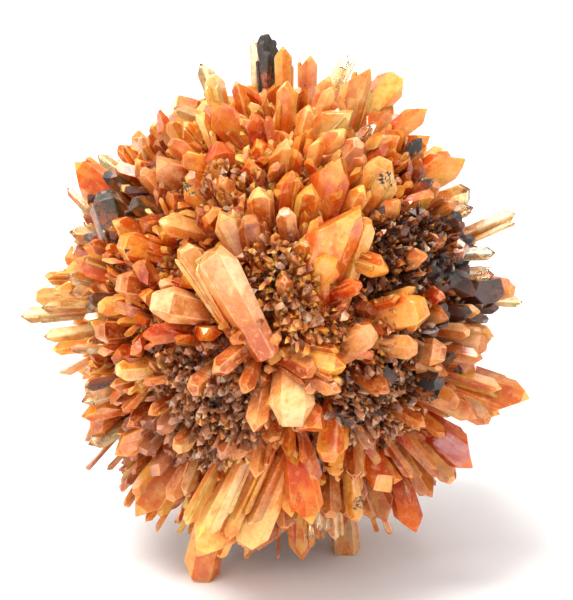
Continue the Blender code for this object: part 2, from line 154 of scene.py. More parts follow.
TOP = [
    Blade(-1.3, 37.0, 355, 3.2, "smoke", STEP, -0.2, toward=0),
    Blade(-3.1, 36.2, 358, 1.4, "clear", POINT, toward=-1),
    Blade(-10.2, 33.1, 340, 2.8, "lemon", POINT, -0.2, toward=-2),
    Blade(-8.8, 31.3, 345, 3.2, "honey", FLAT, 0.2, toward=6),
    Blade(-14.2, 26.8, 290, 2.3, "lemon", POINT, toward=6, long=9),
    Blade(-5.5, 30.6, 345, 2.2, "flame", POINT, toward=10),
    Blade(-17.2, 24.9, 335, 3.2, "amber", POINT, 0.2, toward=4),
    Blade(-18.5, 22.8, 358, 1.4, "rose", FLAT, toward=6),
    Blade(-14.6, 24.8, 330, 2.4, "amber", FLAT, 0.5, toward=10),
    Blade(-12.8, 25.0, 322, 3.0, "amber", POINT, toward=12),
    Blade(-11.4, 25.8, 320, 3.0, "honey", POINT, 0.3, toward=9),
    Blade(-9.4, 27.2, 318, 5.4, "flame", ROOF, 0.3, toward=15, nod=22),
    Blade(-8.0, 22.2, 350, 4.6, "ember", POINT, toward=21, nod=38),
    Blade(-2.8, 26.1, 350, 3.2, "ember", POINT, toward=17),
    Blade(0.6, 22.3, 5, 4.2, "peach", ROOF, 0.5, toward=21),
    Blade(1.0, 35.4, 0, 2.8, "amber", POINT, toward=2),
    Blade(4.5, 34.2, 0, 2.8, "amber", POINT, 0.2, toward=5),
    Blade(7.4, 31.3, 15, 3.2, "flame", POINT, toward=8),
    Blade(9.9, 34.1, 25, 2.3, "clear", POINT, toward=-7),
    Blade(11.7, 32.6, 15, 4.4, "honey", ROOF, 0.6, toward=2),
    Blade(16.9, 31.3, 40, 4.8, "honey", FLAT, -0.6, toward=0),
    Blade(20.7, 27.0, 50, 3.6, "flame", POINT, 0.2, toward=2),
    Blade(15.9, 26.4, 30, 1.7, "rust", POINT, toward=8),
    Blade(7.8, 29.8, 25, 2.2, "peach", POINT, toward=12),
    Blade(9.9, 26.9, 45, 4.6, "peach", ROOF, 0.4, toward=14, nod=25),
    Blade(4.6, 27.3, 15, 2.4, "peach", POINT, toward=17),
    Blade(9.7, 23.9, 45, 3.2, "peach", POINT, toward=18, nod=28),
    Blade(13.0, 24.2, 38, 2.0, "clear", FLAT, toward=14),
    Blade(11.8, 22.3, 45, 3.6, "rose", CHISEL, toward=18),
    Blade(17.2, 22.9, 60, 3.6, "flame", POINT, toward=11),
    Blade(12.4, 20.2, 40, 2.2, "rust", POINT, toward=20),
    Blade(-2.6, 22.6, 340, 3.4, "flame", POINT, toward=20),
    Blade(-5.8, 26.4, 335, 2.6, "peach", POINT, toward=13),
    Blade(1.6, 30.6, 5, 3.0, "amber", POINT, toward=13),
]

UPPER_RIGHT = [
    Blade(15.2, 19.8, 25, 5.2, "peach", CHISEL, 0.3, toward=20, nod=20),
    Blade(17.2, 14.2, 45, 3.2, "amber", POINT, toward=20),
    Blade(8.4, 20.1, 15, 6.0, "flame", ROOF, 0.2, toward=23, nod=20),
    Blade(9.4, 13.9, 18, 7.6, "amber", ROOF, 0.62, toward=28.5, nod=20),
    Blade(7.8, 6.2, 30, 4.2, "flame", FLAT, 0.3, toward=28, nod=35),
    Blade(15.7, 4.2, 112, 3.6, "flame", POINT, toward=27, nod=30),
    Blade(21.1, 6.3, 85, 3.6, "rust", POINT, toward=22, nod=25),
    Blade(20.4, -0.9, 76, 5.8, "flame", FLAT, 0.1, toward=24, nod=30),
    Blade(23.5, 0.7, 95, 3.2, "ember", POINT, toward=18),
    Blade(23.9, -2.3, 108, 3.2, "rust", POINT, toward=18),
    Blade(25.6, 20.6, 55, 5.6, "flame", ROOF, 0.35, toward=4, nod=8),
    Blade(20.2, 22.7, 40, 2.2, "smoke", POINT, toward=5),
    Blade(24.9, 13.7, 60, 3.2, "rust", POINT, toward=10),
    Blade(27.3, 13.1, 70, 2.2, "clear", POINT, toward=6),
    Blade(33.1, 12.3, 67, 2.5, "lemon", POINT, toward=-1, nod=0),
    # The umber blades of this side, here and below, are dark partly from black inclusions and partly as
    # painted shadow.
    Blade(25.8, 10.7, 75, 2.0, "umber", FLAT, toward=14, nod=55),
    Blade(25.6, 11.9, 68, 3.2, "smoke", CHISEL, toward=10),
    Blade(23.4, 8.6, 80, 3.2, "rust", POINT, toward=17),
    Blade(30.4, 6.8, 87, 2.3, "clear", POINT, toward=4),
    Blade(33.0, 1.5, 100, 3.4, "amber", CHISEL, toward=2),
    Blade(34.1, 0.0, 92, 1.8, "lemon", POINT, toward=-2),
    Blade(18.6, 10.2, 60, 3.4, "umber", POINT, toward=21),
    Blade(22.4, 16.6, 52, 3.4, "rust", CHISEL, toward=12),
    Blade(13.4, 9.4, 50, 3.0, "amber", POINT, toward=24),
]

LOWER_RIGHT = [
    Blade(28.3, -1.3, 92, 2.2, "tan", POINT, toward=12),
    Blade(30.2, -4.8, 108, 2.6, "amber", POINT, toward=8),
    Blade(29.2, -6.0, 100, 4.0, "tan", CHISEL, toward=12),
    Blade(22.7, -7.0, 95, 4.2, "tan", FLAT, toward=21, nod=55),
    Blade(22.7, -11.2, 108, 3.2, "umber", FLAT, toward=20, nod=52),
    Blade(28.7, -7.8, 100, 2.6, "rust", POINT, toward=14),
    Blade(34.7, -14.2, 110, 5.8, "amber", ROOF, -0.3, toward=0, nod=4),
    Blade(28.1, -15.5, 113, 4.0, "tan", POINT, 0.3, toward=12),
    Blade(29.6, -16.4, 115, 3.0, "tan", CHISEL, toward=7),
    Blade(25.2, -14.0, 110, 3.6, "rust", CHISEL, toward=17),
    Blade(20.8, -17.2, 120, 2.4, "rust", POINT, toward=19),
    Blade(27.6, -22.4, 127, 5.8, "ember", ROOF, 0.2, toward=5, nod=12),
    Blade(22.2, -23.2, 140, 1.4, "rust", POINT, toward=11),
    Blade(18.9, -24.4, 145, 1.8, "rust", POINT, toward=14),
    Blade(18.9, -31.9, 165, 4.2, "ember", ROOF, -0.2, toward=1, nod=4),
    Blade(15.7, -30.3, 155, 4.2, "rust", POINT, 0.2, toward=4),
    Blade(11.0, -30.2, 175, 2.6, "amber", FLAT, toward=11),
    Blade(9.8, -36.4, 175, 4.4, "pale", ROOF, 0.1, toward=-12.8, nod=-16, flat=0.8),
    Blade(19.6, -6.4, 96, 3.6, "tan", CHISEL, toward=25, nod=40),
    Blade(15.8, -12.4, 120, 3.0, "rust", POINT, toward=24, nod=35),
    Blade(13.6, -20.4, 150, 2.6, "plum", POINT, toward=20),
]

BOTTOM = [
    Blade(4.4, -30.8, 172, 5.6, "flame", ROOF, -0.2, toward=14, nod=8),
    Blade(5.6, -33.2, 178, 2.8, "clear", POINT, toward=8),
    Blade(1.2, -31.3, 178, 2.4, "tan", FLAT, toward=10),
    Blade(-1.7, -34.4, 190, 5.2, "rust", ROOF, 0.3, toward=8, nod=4),
    Blade(-10.2, -35.4, 207, 6.4, "honey", ROOF, 0.2, toward=13, nod=6, flat=0.4, long=20),
    Blade(-4.3, -33.8, 205, 5.4, "peach", FLAT, 0.2, toward=13, nod=6, flat=0.42, long=20),
    Blade(-11.0, -39.6, 193, 5.6, "flame", ROOF, -0.1, toward=-3.2, nod=-5, flat=0.75, long=24),
    Blade(-12.6, -26.8, 200, 2.2, "tan", POINT, toward=13),
    Blade(-19.0, -30.0, 215, 5.6, "amber", POINT, 0.2, toward=1, nod=4),
    Blade(-2.8, -24.3, 190, 2.4, "tan", POINT, toward=19),
    Blade(7.4, -22.1, 185, 4.0, "flame", CHISEL, toward=22, nod=28),
    Blade(10.9, -24.7, 178, 2.4, "rust", POINT, toward=18),
    Blade(-7.6, -21.8, 205, 3.0, "plum", POINT, toward=21),
    Blade(-13.8, -20.6, 220, 3.0, "tan", CHISEL, toward=18),
]

LEFT = [
    Blade(-22.5, -20.8, 240, 4.2, "amber", POINT, -0.2, toward=6),
    Blade(-26.0, -19.7, 245, 2.8, "lemon", POINT, toward=1),
    Blade(-27.0, -15.8, 258, 2.7, "amber", POINT, toward=5),
    Blade(-26.9, -13.8, 250, 2.4, "clear", POINT, toward=9),
    Blade(-26.3, -11.8, 255, 1.8, "umber", POINT, toward=12),
    Blade(-30.0, -9.9, 240, 2.4, "rose", POINT, toward=6),
    Blade(-28.5, -6.4, 272, 1.6, "clear", POINT, toward=11),
    Blade(-32.1, -4.8, 262, 2.4, "lemon", POINT, toward=4),
    Blade(-35.3, -2.0, 265, 2.5, "lemon", POINT, toward=-1, nod=0),
    Blade(-33.2, 0.8, 272, 3.0, "honey", FLAT, 0.2, toward=2),
    Blade(-28.9, 3.6, 285, 2.2, "lemon", POINT, toward=8),
    Blade(-28.6, 9.7, 280, 2.6, "lemon", POINT, toward=5),
    Blade(-28.2, 18.6, 305, 5.4, "flame", ROOF, 0.3, toward=-1, nod=0),
    Blade(-28.8, 15.8, 318, 1.5, "clear", POINT, toward=3),
    Blade(-24.7, 20.3, 305, 2.0, "lemon", POINT, toward=-5),
    Blade(-19.4, 19.9, 325, 3.2, "flame", POINT, toward=9),
    Blade(-23.7, 15.0, 345, 5.4, "dome", FLAT, 0.0, toward=12, nod=15, flat=0.7),
    Blade(-20.0, 13.8, 290, 3.2, "dome", CHISEL, toward=17),
    Blade(-15.9, 20.3, 322, 6.4, "tan", ROOF, -0.2, toward=17, nod=20),
    Blade(-16.2, 11.2, 285, 3.6, "peach", POINT, toward=23, nod=28),
    Blade(-21.3, 8.3, 288, 4.2, "flame", FLAT, 0.2, toward=20, nod=26),
    Blade(-25.9, 8.1, 290, 2.4, "rust", POINT, toward=13),
    Blade(-27.5, 6.0, 290, 4.2, "flame", ROOF, toward=10, nod=12),
    Blade(-21.4, 2.6, 280, 4.8, "tan", FLAT, toward=20, nod=34),
    Blade(-24.4, -4.0, 268, 3.8, "rust", FLAT, toward=17, nod=40),
    Blade(-26.2, 0.4, 272, 2.4, "umber", POINT, toward=14),
    Blade(-24.5, -0.8, 262, 3.0, "amber", CHISEL, toward=17),
    Blade(-18.4, -4.6, 265, 3.2, "ember", POINT, toward=23, nod=28),
    Blade(-21.9, -9.4, 266, 3.6, "honey", FLAT, -0.2, toward=18, nod=18),
    Blade(-22.9, -11.6, 258, 2.0, "tan", POINT, toward=15),
    Blade(-17.6, -15.6, 235, 2.2, "rust", POINT, toward=18),
    Blade(-20.6, -17.2, 238, 3.0, "rust", POINT, toward=12),
]

MIDDLE = [
    Blade(-9.0, 6.9, 331, 6.2, "cream", FLAT, -0.5, toward=29, nod=14, roll=-24, flat=0.5, long=16),
    Blade(-12.6, 7.6, 328, 4.2, "peach", FLAT, 0.2, toward=26, nod=16),
    Blade(-16.0, 0.0, 282, 5.4, "cream", FLAT, 0.15, toward=26, nod=42, flat=0.7),
    Blade(-11.8, -12.4, 232, 3.6, "tan", CHISEL, toward=24, nod=35),
    Blade(-8.7, -9.9, 230, 3.2, "tan", POINT, toward=27, nod=30),
    Blade(-3.0, -18.0, 192, 3.4, "tan", POINT, toward=25, nod=25),
    Blade(2.4, -16.2, 178, 6.6, "cream", FLAT, -0.2, toward=26.5, nod=36, flat=0.5, long=11),
    Blade(9.8, -8.9, 100, 4.4, "amber", POINT, toward=28, nod=32),
    Blade(9.1, -12.4, 118, 3.2, "tan", POINT, toward=28, nod=32),
    Blade(13.6, -3.6, 52, 4.0, "tan", CHISEL, toward=28, nod=40),
    Blade(6.6, -17.6, 130, 4.6, "flame", ROOF, toward=25, nod=28),
    Blade(1.3, 12.6, 350, 3.0, "rose", FLAT, toward=27, nod=45),
    Blade(-3.5, 11.6, 352, 3.8, "rust", FLAT, toward=27, nod=32),
    Blade(-7.5, 12.4, 332, 4.2, "peach", ROOF, toward=26, nod=28),
    Blade(-11.0, 13.2, 318, 3.6, "rust", POINT, toward=23, nod=28),
    Blade(-2.3, 16.0, 355, 4.0, "peach", POINT, toward=25, nod=30),
    Blade(2.4, 18.2, 8, 4.2, "flame", POINT, toward=24, nod=28),
    Blade(-7.6, 17.6, 338, 3.0, "tan", POINT, toward=23, nod=28),
    Blade(1.2, 3.8, 355, 2.6, "rose", POINT, toward=28, nod=45),
    Blade(12.0, 2.6, 70, 2.8, "ember", POINT, toward=28, nod=40),
    Blade(3.4, -3.4, 140, 2.8, "tan", POINT, toward=28, nod=50),
    Blade(-6.0, -5.6, 225, 2.8, "rust", POINT, toward=28, nod=50),
]


# The two hidden feet: how far right and back they stand, and their width, in millimetres
BACK_FEET = [(-6.5, 11.0, 6.0), (9.6, 9.6, 5.4)]
FOOT_DEPTH = 0.6 * MM
FOOT_FLATNESS = 0.7
FOOT_LEAN = 0.1
FOOT_BROADNESS = 1.2

# Thinner blades that stand between the large ones of the front
BETWEEN = [
    Blade(-2.0, 36.0, 343, 1.5, "smoke", CHISEL, toward=0.8, flat=0.8, long=4),
    Blade(-0.3, 36.2, 14, 1.4, "smoke", FLAT, toward=0.6, flat=0.8, long=4),
    Blade(-1.2, 34.6, 2, 1.9, "smoke", CHISEL, toward=1.4, flat=0.8, long=5),
    Blade(7.6, -29.8, 178, 3.4, "tan", CHISEL, toward=10),
    Blade(9.8, -29.8, 172, 3.6, "rust", ROOF, toward=6),
    Blade(8.2, -33.0, 176, 2.6, "pale", POINT, toward=0),
    Blade(11.8, -28.4, 165, 3.2, "rust", POINT, toward=7),
    Blade(6.6, -31.8, 182, 2.6, "clear", FLAT, toward=9),
    Blade(13.6, -29.6, 160, 3.4, "tan", FLAT, toward=4),
    Blade(2.6, -28.2, 181, 3.2, "rust", ROOF, toward=14),
    Blade(-5.2, -29.0, 190, 3.0, "rust", POINT, toward=13),
    Blade(-14.6, -27.4, 208, 3.0, "tan", CHISEL, toward=9),
    Blade(-9.2, -31.8, 205, 2.6, "peach", FLAT, toward=16, nod=8),
    Blade(-6.8, -33.0, 204, 2.2, "amber", POINT, toward=15, nod=8),
    Blade(-12.4, -30.8, 208, 2.4, "honey", POINT, toward=14, nod=6),
    Blade(21.6, -27.0, 148, 3.2, "rust", POINT, toward=4),
    Blade(24.4, -24.8, 136, 2.6, "tan", CHISEL, toward=6),
    Blade(31.2, -12.0, 108, 2.4, "amber", POINT, toward=6),
    Blade(26.8, -4.2, 97, 2.4, "tan", CHISEL, toward=14),
    Blade(30.2, 3.8, 88, 2.2, "clear", POINT, toward=4),
    Blade(27.6, 8.8, 78, 1.8, "smoke", POINT, toward=9),
    Blade(-31.0, -6.6, 262, 2.2, "honey", POINT, toward=5),
    Blade(-32.4, -0.8, 270, 2.0, "lemon", POINT, toward=4),
    Blade(-30.4, 1.8, 276, 2.4, "honey", POINT, toward=7),
    Blade(-22.6, 11.2, 292, 3.0, "amber", POINT, toward=17),
    Blade(-3.8, 19.6, 345, 3.6, "flame", ROOF, toward=22, nod=34),
    Blade(5.0, 16.0, 12, 3.8, "amber", ROOF, toward=25, nod=34),
    Blade(4.2, 8.4, 10, 3.4, "amber", FLAT, toward=27, nod=34),
    Blade(12.2, 16.2, 30, 3.0, "honey", POINT, toward=22, nod=24),
    Blade(-12.6, 16.4, 316, 3.4, "amber", ROOF, toward=21, nod=26),
    Blade(-9.8, 4.0, 318, 3.2, "flame", POINT, toward=26, nod=36),
    Blade(-4.4, -12.6, 200, 2.6, "tan", POINT, toward=27, nod=40),
    Blade(5.4, -9.8, 120, 3.2, "rust", CHISEL, toward=28, nod=44),
]

# Where fine crystals cover what lies below: right, up and radius in millimetres
DRUSE_PATCHES = [
    (-9, -19, 7.5), (-15, -13, 4), (15, -16, 6.5), (1, 3, 6),
    (-6, 15, 4.5), (19, -7, 4.5), (6, -5, 4), (19, 6, 7),
]
PATCH_RISE = 4.6 * MM
PATCH_NEEDLES = 52000
PATCH_KEEPS = 0.3

# The colours by zone of the front view: right, up and radius in millimetres, and the tones found there
ZONES = [
    (0, 31, 9, "flame amber honey amber"),
    (-9, 27, 7, "flame honey amber flame"),
    (-20, 22, 6, "amber rust amber"),
    (-24, 13, 6, "dome rust umber amber"),
    (-24, 3, 8, "flame amber amber rust"),
    (-31, -3, 6, "lemon honey lemon honey"),
    (-24, -12, 7, "rust amber tan amber"),
    (-15, -19, 8, "rust plum tan plum"),
    (-7, -18, 8, "plum tan rust plum"),
    (-6, 14, 7, "rust flame amber amber"),
    (-12, 4, 7, "ember flame amber rust"),
    (0, 2, 7, "amber rust tan amber"),
    (3, -12, 6, "honey tan amber rust"),
    (12, -4, 6, "rust amber ember"),
    (15, -16, 8, "rust plum tan umber"),
    # The umber of the right side is partly black inclusions and partly painted shadow of a large blade.
    (20, 7, 8, "umber umber rust umber"),
    (17, 14, 5, "umber rust amber"),
    (27, 3, 6, "umber rust umber"),
    (22, -9, 7, "tan rust umber"),
    (12, 24, 7, "peach amber amber flame"),
    (20, 20, 6, "rust amber amber flame"),
    (10, -27, 7, "amber rust tan flame"),
    (-4, -29, 7, "flame amber honey"),
    (25, -18, 6, "ember rust amber"),
]
ZONE_DEPTH = 32.0 * MM
ZONE_BACK = -6.0

# The colours of the back: up to which value of a slow noise over the ball, and the tones found there
BACK_PATCH_SCALE = 2.3
BACK_PATCHES = [
    (-0.28, "umber smoke rust tan"),
    (-0.02, "rust amber tan ember"),
    (0.26, "flame amber peach flame"),
    (9.0, "honey lemon amber peach"),
]
CLEAR_TONES = ("lemon", "clear")

# The thinner blades along a large one: how many, where beside it, how much shorter and how wide
COMPANIONS_FROM = 2.0 * MM
COMPANION_COUNT = (2, 4)
COMPANION_ACROSS = (-0.5, 0.5)
COMPANION_SIDES = (-1, 1, 1, 1)
COMPANION_OVER = (0.15, 0.5)
COMPANION_DROP = (0.3, 4.5)
COMPANION_TURN = 0.025
COMPANION_WIDTHS = (0.16, 0.46)
COMPANION_FLATNESS = (0.4, 0.8)
COMPANION_LEAN = (-0.6, 0.6)
SMALL_BROADNESS = 1.1

# What fills the room between the large blades: how many, their share of the way to the tips, their
# widths and flatness, and how loosely they follow the line from the middle
FILL_SEED = 5
FILLS = [
    (620, (0.30, 0.72), (2.4 * MM, 5.4 * MM), (0.28, 0.5), 0.3),
    (2200, (0.12, 0.52), (0.9 * MM, 2.5 * MM), (0.3, 0.7), 0.6),
]
FILL_UNEVEN_PLACE = 0.09
FILL_DRIFT = 0.8
FILL_LEAN = (-0.7, 0.7)
FILL_ROOT = 3.0 * MM
LOWER_AT_RIM = 0.3
FARTHEST_LEAN = 0.8
UPRIGHTED = 1.5

# The fill of the underside, which nearly reaches the ground around the feet
UNDERSIDE = -0.6
UNDERSIDE_FRONT = 0.0
UNDERSIDE_SHARES = (0.45, 0.98)
UNDERSIDE_LOOSE = 0.12

# The grown-together surface at the bottom of the hollows, and its grain
CRUST_RADIUS = 24.0 * MM
CRUST_GRAIN = 1.1 * MM
CRUST_GRAIN_HEIGHT = 0.35 * MM
CRUST_FINENESS = 5
CRUST_SOOT = 0.2
# Painted shade: the crust's facet value tints it a little shaded, and as it lies at the roots it takes the
# painted root shade in full.
CRUST_SHADE = 0.5
CRUST_BODY = (0.60, 0.15, 0.030)
CRUST_TIP = (0.72, 0.27, 0.070)

# The fine crystals on that surface
DRUSE_NEEDLES = 22000
DRUSE_PIECES = 2
DRUSE_LENGTHS = (0.6 * MM, 2.1 * MM)
DRUSE_WIDTHS = (0.32, 0.66)
DRUSE_TONES = {
    "lemon": "amber", "clear": "amber", "honey": "amber", "peach": "amber", "tan": "plum", "rose": "plum",
}
SUGAR_SHARE = 0.12
DRUSE_SPREAD = 0.85
DRUSE_UNEVEN_PLACE = 0.05
DRUSE_SUNK = (-0.4, 0.4)
DRUSE_CLEAR_OF_GROUND = 0.2 * MM
DRUSE_SHADES = (0.55, 1.05)

# The least length of a blade that counts as free, and how far its patterns shift from blade to blade
SHORTEST_FREE = 2.0 * MM
PATTERN_SHIFT = (0, 90)

# The form of a fine crystal: where it starts to taper, its width at the foot, and how far its point is off
SHOULDER = 0.72
FOOT_WIDTH = 0.8
POINT_OFF_MIDDLE = 0.4

# How bright blades are beside each other, the painted light and shade of the facets of one blade, which
# leans to a painted highlight on its rounded edges, and how wide those edges are
SHADES = (0.86, 1.06)
PAINTED_FACET_LIGHT = (0.0, 1.0)
PAINTED_EDGE_LIGHT = (0.35, 1.0)
LARGE_BEVEL = 0.12 * MM
BETWEEN_BEVEL = 0.10 * MM
COMPANION_BEVEL = 0.07 * MM

# The light: the key's strength, size, side and colour
KEY_STRENGTH = 2.9
KEY_SIZE = math.radians(28.0)
KEY_FROM = (-0.33, -0.16, 1.0)
KEY_COLOUR = (1.0, 0.985, 0.96)

# The room: its bright side, how bright it is there and opposite, its patches, and its small lamps
BRIGHT_SIDE = Vector((-0.5, -0.85, 0.15)).normalized()
ROOM_BRIGHT = 1.0
ROOM_DIM = 0.32
ROOM_PATCHES = 2.1
ROOM_PATCH_EDGE = (0.42, 0.58)
ROOM_UNEVEN = (0.3, 1.6)
LAMPS = 7.0
LAMP_STRENGTH = 14.0
LAMP_FROM = 0.72
LAMP_FADE = 0.04
CONTRAST = 0.93

# Places of the front where black needles of another mineral sit: right, up and radius in millimetres
BLACK_SPOTS = [
    (-1.0, 35.5, 2.6),
    (4.1, 29.4, 1.2),
    (-12.0, 14.6, 2.6),
    (-16.8, 18.4, 1.2),
    (-19.4, 6.6, 1.0),
    (-23.6, 17.0, 1.8),
    (14.4, 16.0, 2.4),
    (20.2, 16.2, 2.0),
    (24.4, 16.4, 1.2),
    (23.0, 5.0, 3.4),
    (20.4, -12.2, 2.6),
    (24.6, -9.6, 1.6),
    (-18.2, -24.2, 1.4),
    (-7.6, -13.0, 2.2),
    (11.2, -27.0, 1.8),
    (32.8, 0.4, 1.2),
]

# How near the front such a place has to be to turn black
SPOT_DEPTH = 6.0 * MM
SPOT_CORE = 0.3
SPOT_SOOT = 0.5

# The see-through mineral: how it bends light, and how light spreads inside it
BENDING = 1.478
GLOW = 0.42
DRUSE_GLOW = 0.3
GLOW_COLOUR = (1.0, 0.48, 0.22)
GLOW_REACH = 1.5 * MM

# The sizes of its patterns: veils and clouds over the ball, and cells and growth lines along a blade
VEILS = 420.0
CLOUDS = 900.0
SPECKS = 1500.0
GRAIN = 3200.0
CELLS = (0.9, 0.9, 0.28)
GROWTH_LINES = (4.5, 4.5, 0.14)
LINE_HEIGHT = 0.7
GRAIN_HEIGHT = 0.3
RELIEF = 0.12 * MM
RELIEF_STRENGTH = 0.4

# The colours that its root (painted shade), shaded facets (painted shade), mottles, rims (partly painted
# glow), cracks, lit facets (painted light) and painted glints take or mix in
ROOT_SHADE_TINT = (0.68, 0.32, 0.15, 1.0)
SHADE_TINT = (0.80, 0.60, 0.44, 1.0)
MOTTLE_TINT = (0.80, 0.55, 0.36, 1.0)
RIM_COLOUR = (1.0, 0.80, 0.50, 1.0)
CRACK_COLOUR = (1.0, 0.76, 0.44, 1.0)
MILK_COLOUR = (1.0, 0.78, 0.50, 1.0)
LIT_COLOUR = (1.0, 0.82, 0.58, 1.0)
GLINT_COLOUR = (1.0, 0.84, 0.62, 1.0)
BLACK = (0.028, 0.022, 0.018, 1.0)
RIM_PALER = 0.4
LIT_PALER = 0.2
MILK_PALER = 0.5

# Smooth steps over a pattern or along a blade: where each starts and ends, and what it gives there
TIP = (0.3, 1.0)
TIP_VEILS = (0.3, 0.7, -0.4, 0.5)
TIP_CELLS = (0.1, 0.9, -0.35, 0.35)
TIP_FACETS = (0.0, 1.0, -0.35, 0.35)
RIM = (0.5, 1.1, 0.0, 0.35)
ROOT = (0.0, 0.72)
MOTTLE = (0.46, 0.66, 0.0, 0.5)
CRACK = (0.0, 0.012, 0.45, 0.0)
CRACKED_VEILS = (0.45, 0.6)
SHADED = (0.0, 0.7)
LIT = (0.75, 1.15)
MILK = (0.54, 0.72, 0.0, 0.35)
GLINTS = (0.68, 0.76, 0.0, 0.55)
GLINTS_LEFT = (0.0, 1.0, 0.4, 1.0)
PURE = (0.12, 0.4, 1.0, 0.1)
SOOT = (0.2, 1.0, 0.35, 0.62)
LEAST_SOOT = 0.2
SOOT_EDGE = (-0.03, 0.03)
CLEAR = (0.3, 1.0, 0.3, 1.9)
CLEAR_VEILS = (0.3, 0.7, 1.0, 0.55)

# How much rougher shaded facets and sooty parts are
ROUGHER_FACETS = 2.0
SOOT_ROUGHNESS = 0.4
BLACK_ROUGHNESS = 0.15

# The table top
FLOOR_SIZE = 6.0
FLOOR_COLOURS = ((0.90, 0.90, 0.90, 1.0), (0.93, 0.93, 0.93, 1.0))
FLOOR_PATCHES = 60.0
FLOOR_ROUGHNESS = 0.7
FLOOR_SHEEN = 0.1

# How the lean of the small blades drifts over the ball
DRIFT_SCALE = 5.0
DRIFT_ACROSS = Vector((7.3, 1.1, 4.7))
DRIFT_UP = Vector((2.9, 8.8, 3.1))


def from_view(right, up, toward):
    """The place of a point of the front view, from the ball's middle, in the part's own axes."""
    nearer = (VIEW_DISTANCE - toward) / VIEW_DISTANCE
    across = Vector((right * nearer, 0.0, 0.0))
    rise = up * nearer * Vector((0.0, math.sin(VIEW_ELEVATION), math.cos(VIEW_ELEVATION)))
    return across + rise + toward * toward_viewer()


def toward_viewer():
    return Vector((0.0, -math.cos(VIEW_ELEVATION), math.sin(VIEW_ELEVATION)))


def in_view(place):
    """A place as millimetres right, up and toward in the front view."""
    up = Vector((0.0, math.sin(VIEW_ELEVATION), math.cos(VIEW_ELEVATION)))
    return place.x / MM, place.dot(up) / MM, place.dot(toward_viewer()) / MM


def view_direction(bearing, nod):
    """The direction that points at a bearing of the front view and nods toward the viewer."""
    flat = Vector((math.sin(bearing), 0.0, 0.0))
    flat += math.cos(bearing) * Vector((0.0, math.sin(VIEW_ELEVATION), math.cos(VIEW_ELEVATION)))
    return flat * math.cos(nod) + toward_viewer() * math.sin(nod)


def length_to_root(tip, axis):
    """How long a blade is from its tip to the middle of the ball, where it is rooted."""
    back_to_closest = tip.dot(axis)
    closest = (tip - back_to_closest * axis).length
    short = math.sqrt(max(ROOT_RADIUS ** 2 - closest ** 2, 0.0))
    return min(back_to_closest - short, LONGEST_BLADE)


def ending_facets(ending, lean):
    """The facets that end a blade: tilt across its width and thickness in degrees, and where they start."""
    far = 52 - 4 * abs(lean)
    near = 52 + 24 * abs(lean)
    left, right = (far, near) if lean >= 0 else (near, far)
    if ending == POINT:
        return [(-left, 0, lean, 0), (right, 0, lean, 0), (0, 46, 0, 0.1), (0, -50, 0, -0.1)]
    if ending == ROOF:
        return [(4 - left, 8, lean, 0), (right, 8, lean, 0), (0, -52, 0, -0.45)]
    if ending == CHISEL:
        return [(8 * lean, 50, 0, 0.1), (8 * lean, -44, 0, -0.1), (58, 0, 0.35, 0), (-58, 0, -0.35, 0)]
    if ending == STEP:
        return [(-14, -12, 0, 0), (62, 10, 0.1, 0), (-60, -10, -0.5, 0)]
    return [(24 * lean, -12, 0, 0), (56, 0, 0.4, 0), (-56, 0, -0.4, 0)]


def cut_off(shape, point, normal):
    """Takes away what lies past a plane and closes the solid with a facet there."""
    geometry = shape.verts[:] + shape.edges[:] + shape.faces[:]
    cut = bmesh.ops.bisect_plane(
        shape, geom=geometry, dist=1e-7, plane_co=point, plane_no=normal, clear_outer=True
    )
    rim = [item for item in cut["geom_cut"] if isinstance(item, bmesh.types.BMEdge)]
    if len(rim) > 2:
        bmesh.ops.contextual_create(shape, geom=rim)


def blade_shape(width, thick, length, ending, lean, broad):
    """A closed blade along +Z with four or six sides, its root at the origin and narrower than its end."""
    shape = bmesh.new()
    sides = 6 if width > SIX_SIDED_FROM else 4
    bmesh.ops.create_cone(
        shape, cap_ends=True, segments=sides, radius1=ROOT_WIDTH / 2, radius2=0.5, depth=length
    )
    bmesh.ops.rotate(shape, verts=shape.verts, matrix=Matrix.Rotation(math.radians(90), 3, "Z"))
    for vert in shape.verts:
        on_broad_face = abs(vert.co.y) > ON_BROAD_FACE
        vert.co.x *= width * (broad if on_broad_face else 1.0)
        vert.co.y *= thick / math.cos(math.radians(30))
        vert.co.z += length / 2
    for tilt_x, tilt_y, start_x, start_y in ending_facets(ending, lean):
        normal = Vector((math.tan(math.radians(tilt_x)), math.tan(math.radians(tilt_y)), 1.0))
        start = Vector((start_x * width / 2, start_y * thick / 2, length))
        cut_off(shape, start, normal.normalized())
    return shape


@dataclass
class Stand:
    """Where a blade stands: its tip, the way it points, the way its broad face looks, and its size."""

    tip: Vector
    axis: Vector
    face: Vector
    width: float
    thick: float
    length: float
    ending: str
    lean: float
    broad: float
    tone: str

    def turn(self):
        side = self.axis.cross(self.face).normalized()
        away = self.axis.cross(side)
        matrix = Matrix((side, away, self.axis)).transposed().to_4x4()
        matrix.translation = self.tip - self.axis * self.length
        return matrix


def front_stand(blade, chance):
    """Where a blade of the front view stands."""
    tip = from_view(blade.right * MM, blade.up * MM, blade.toward * MM)
    nod = blade.nod
    if nod is None:
        nod = NOD_SHARE * math.degrees(math.atan2(blade.toward, math.hypot(blade.right, blade.up)))
    axis = view_direction(math.radians(blade.bearing), math.radians(nod))
    length = length_to_root(tip, axis) if blade.long is None else blade.long * MM
    width = blade.width * MM
    broad = chance.uniform(*BROADNESS)
    roll = blade.roll + chance.uniform(-UNEVEN_ROLL, UNEVEN_ROLL)
    face = toward_viewer() - toward_viewer().project(axis)
    face = Matrix.Rotation(math.radians(roll), 3, axis) @ face
    thick = width * blade.flat
    return Stand(tip, axis, face, width, thick, length, blade.ending, blade.lean, broad, blade.tone)


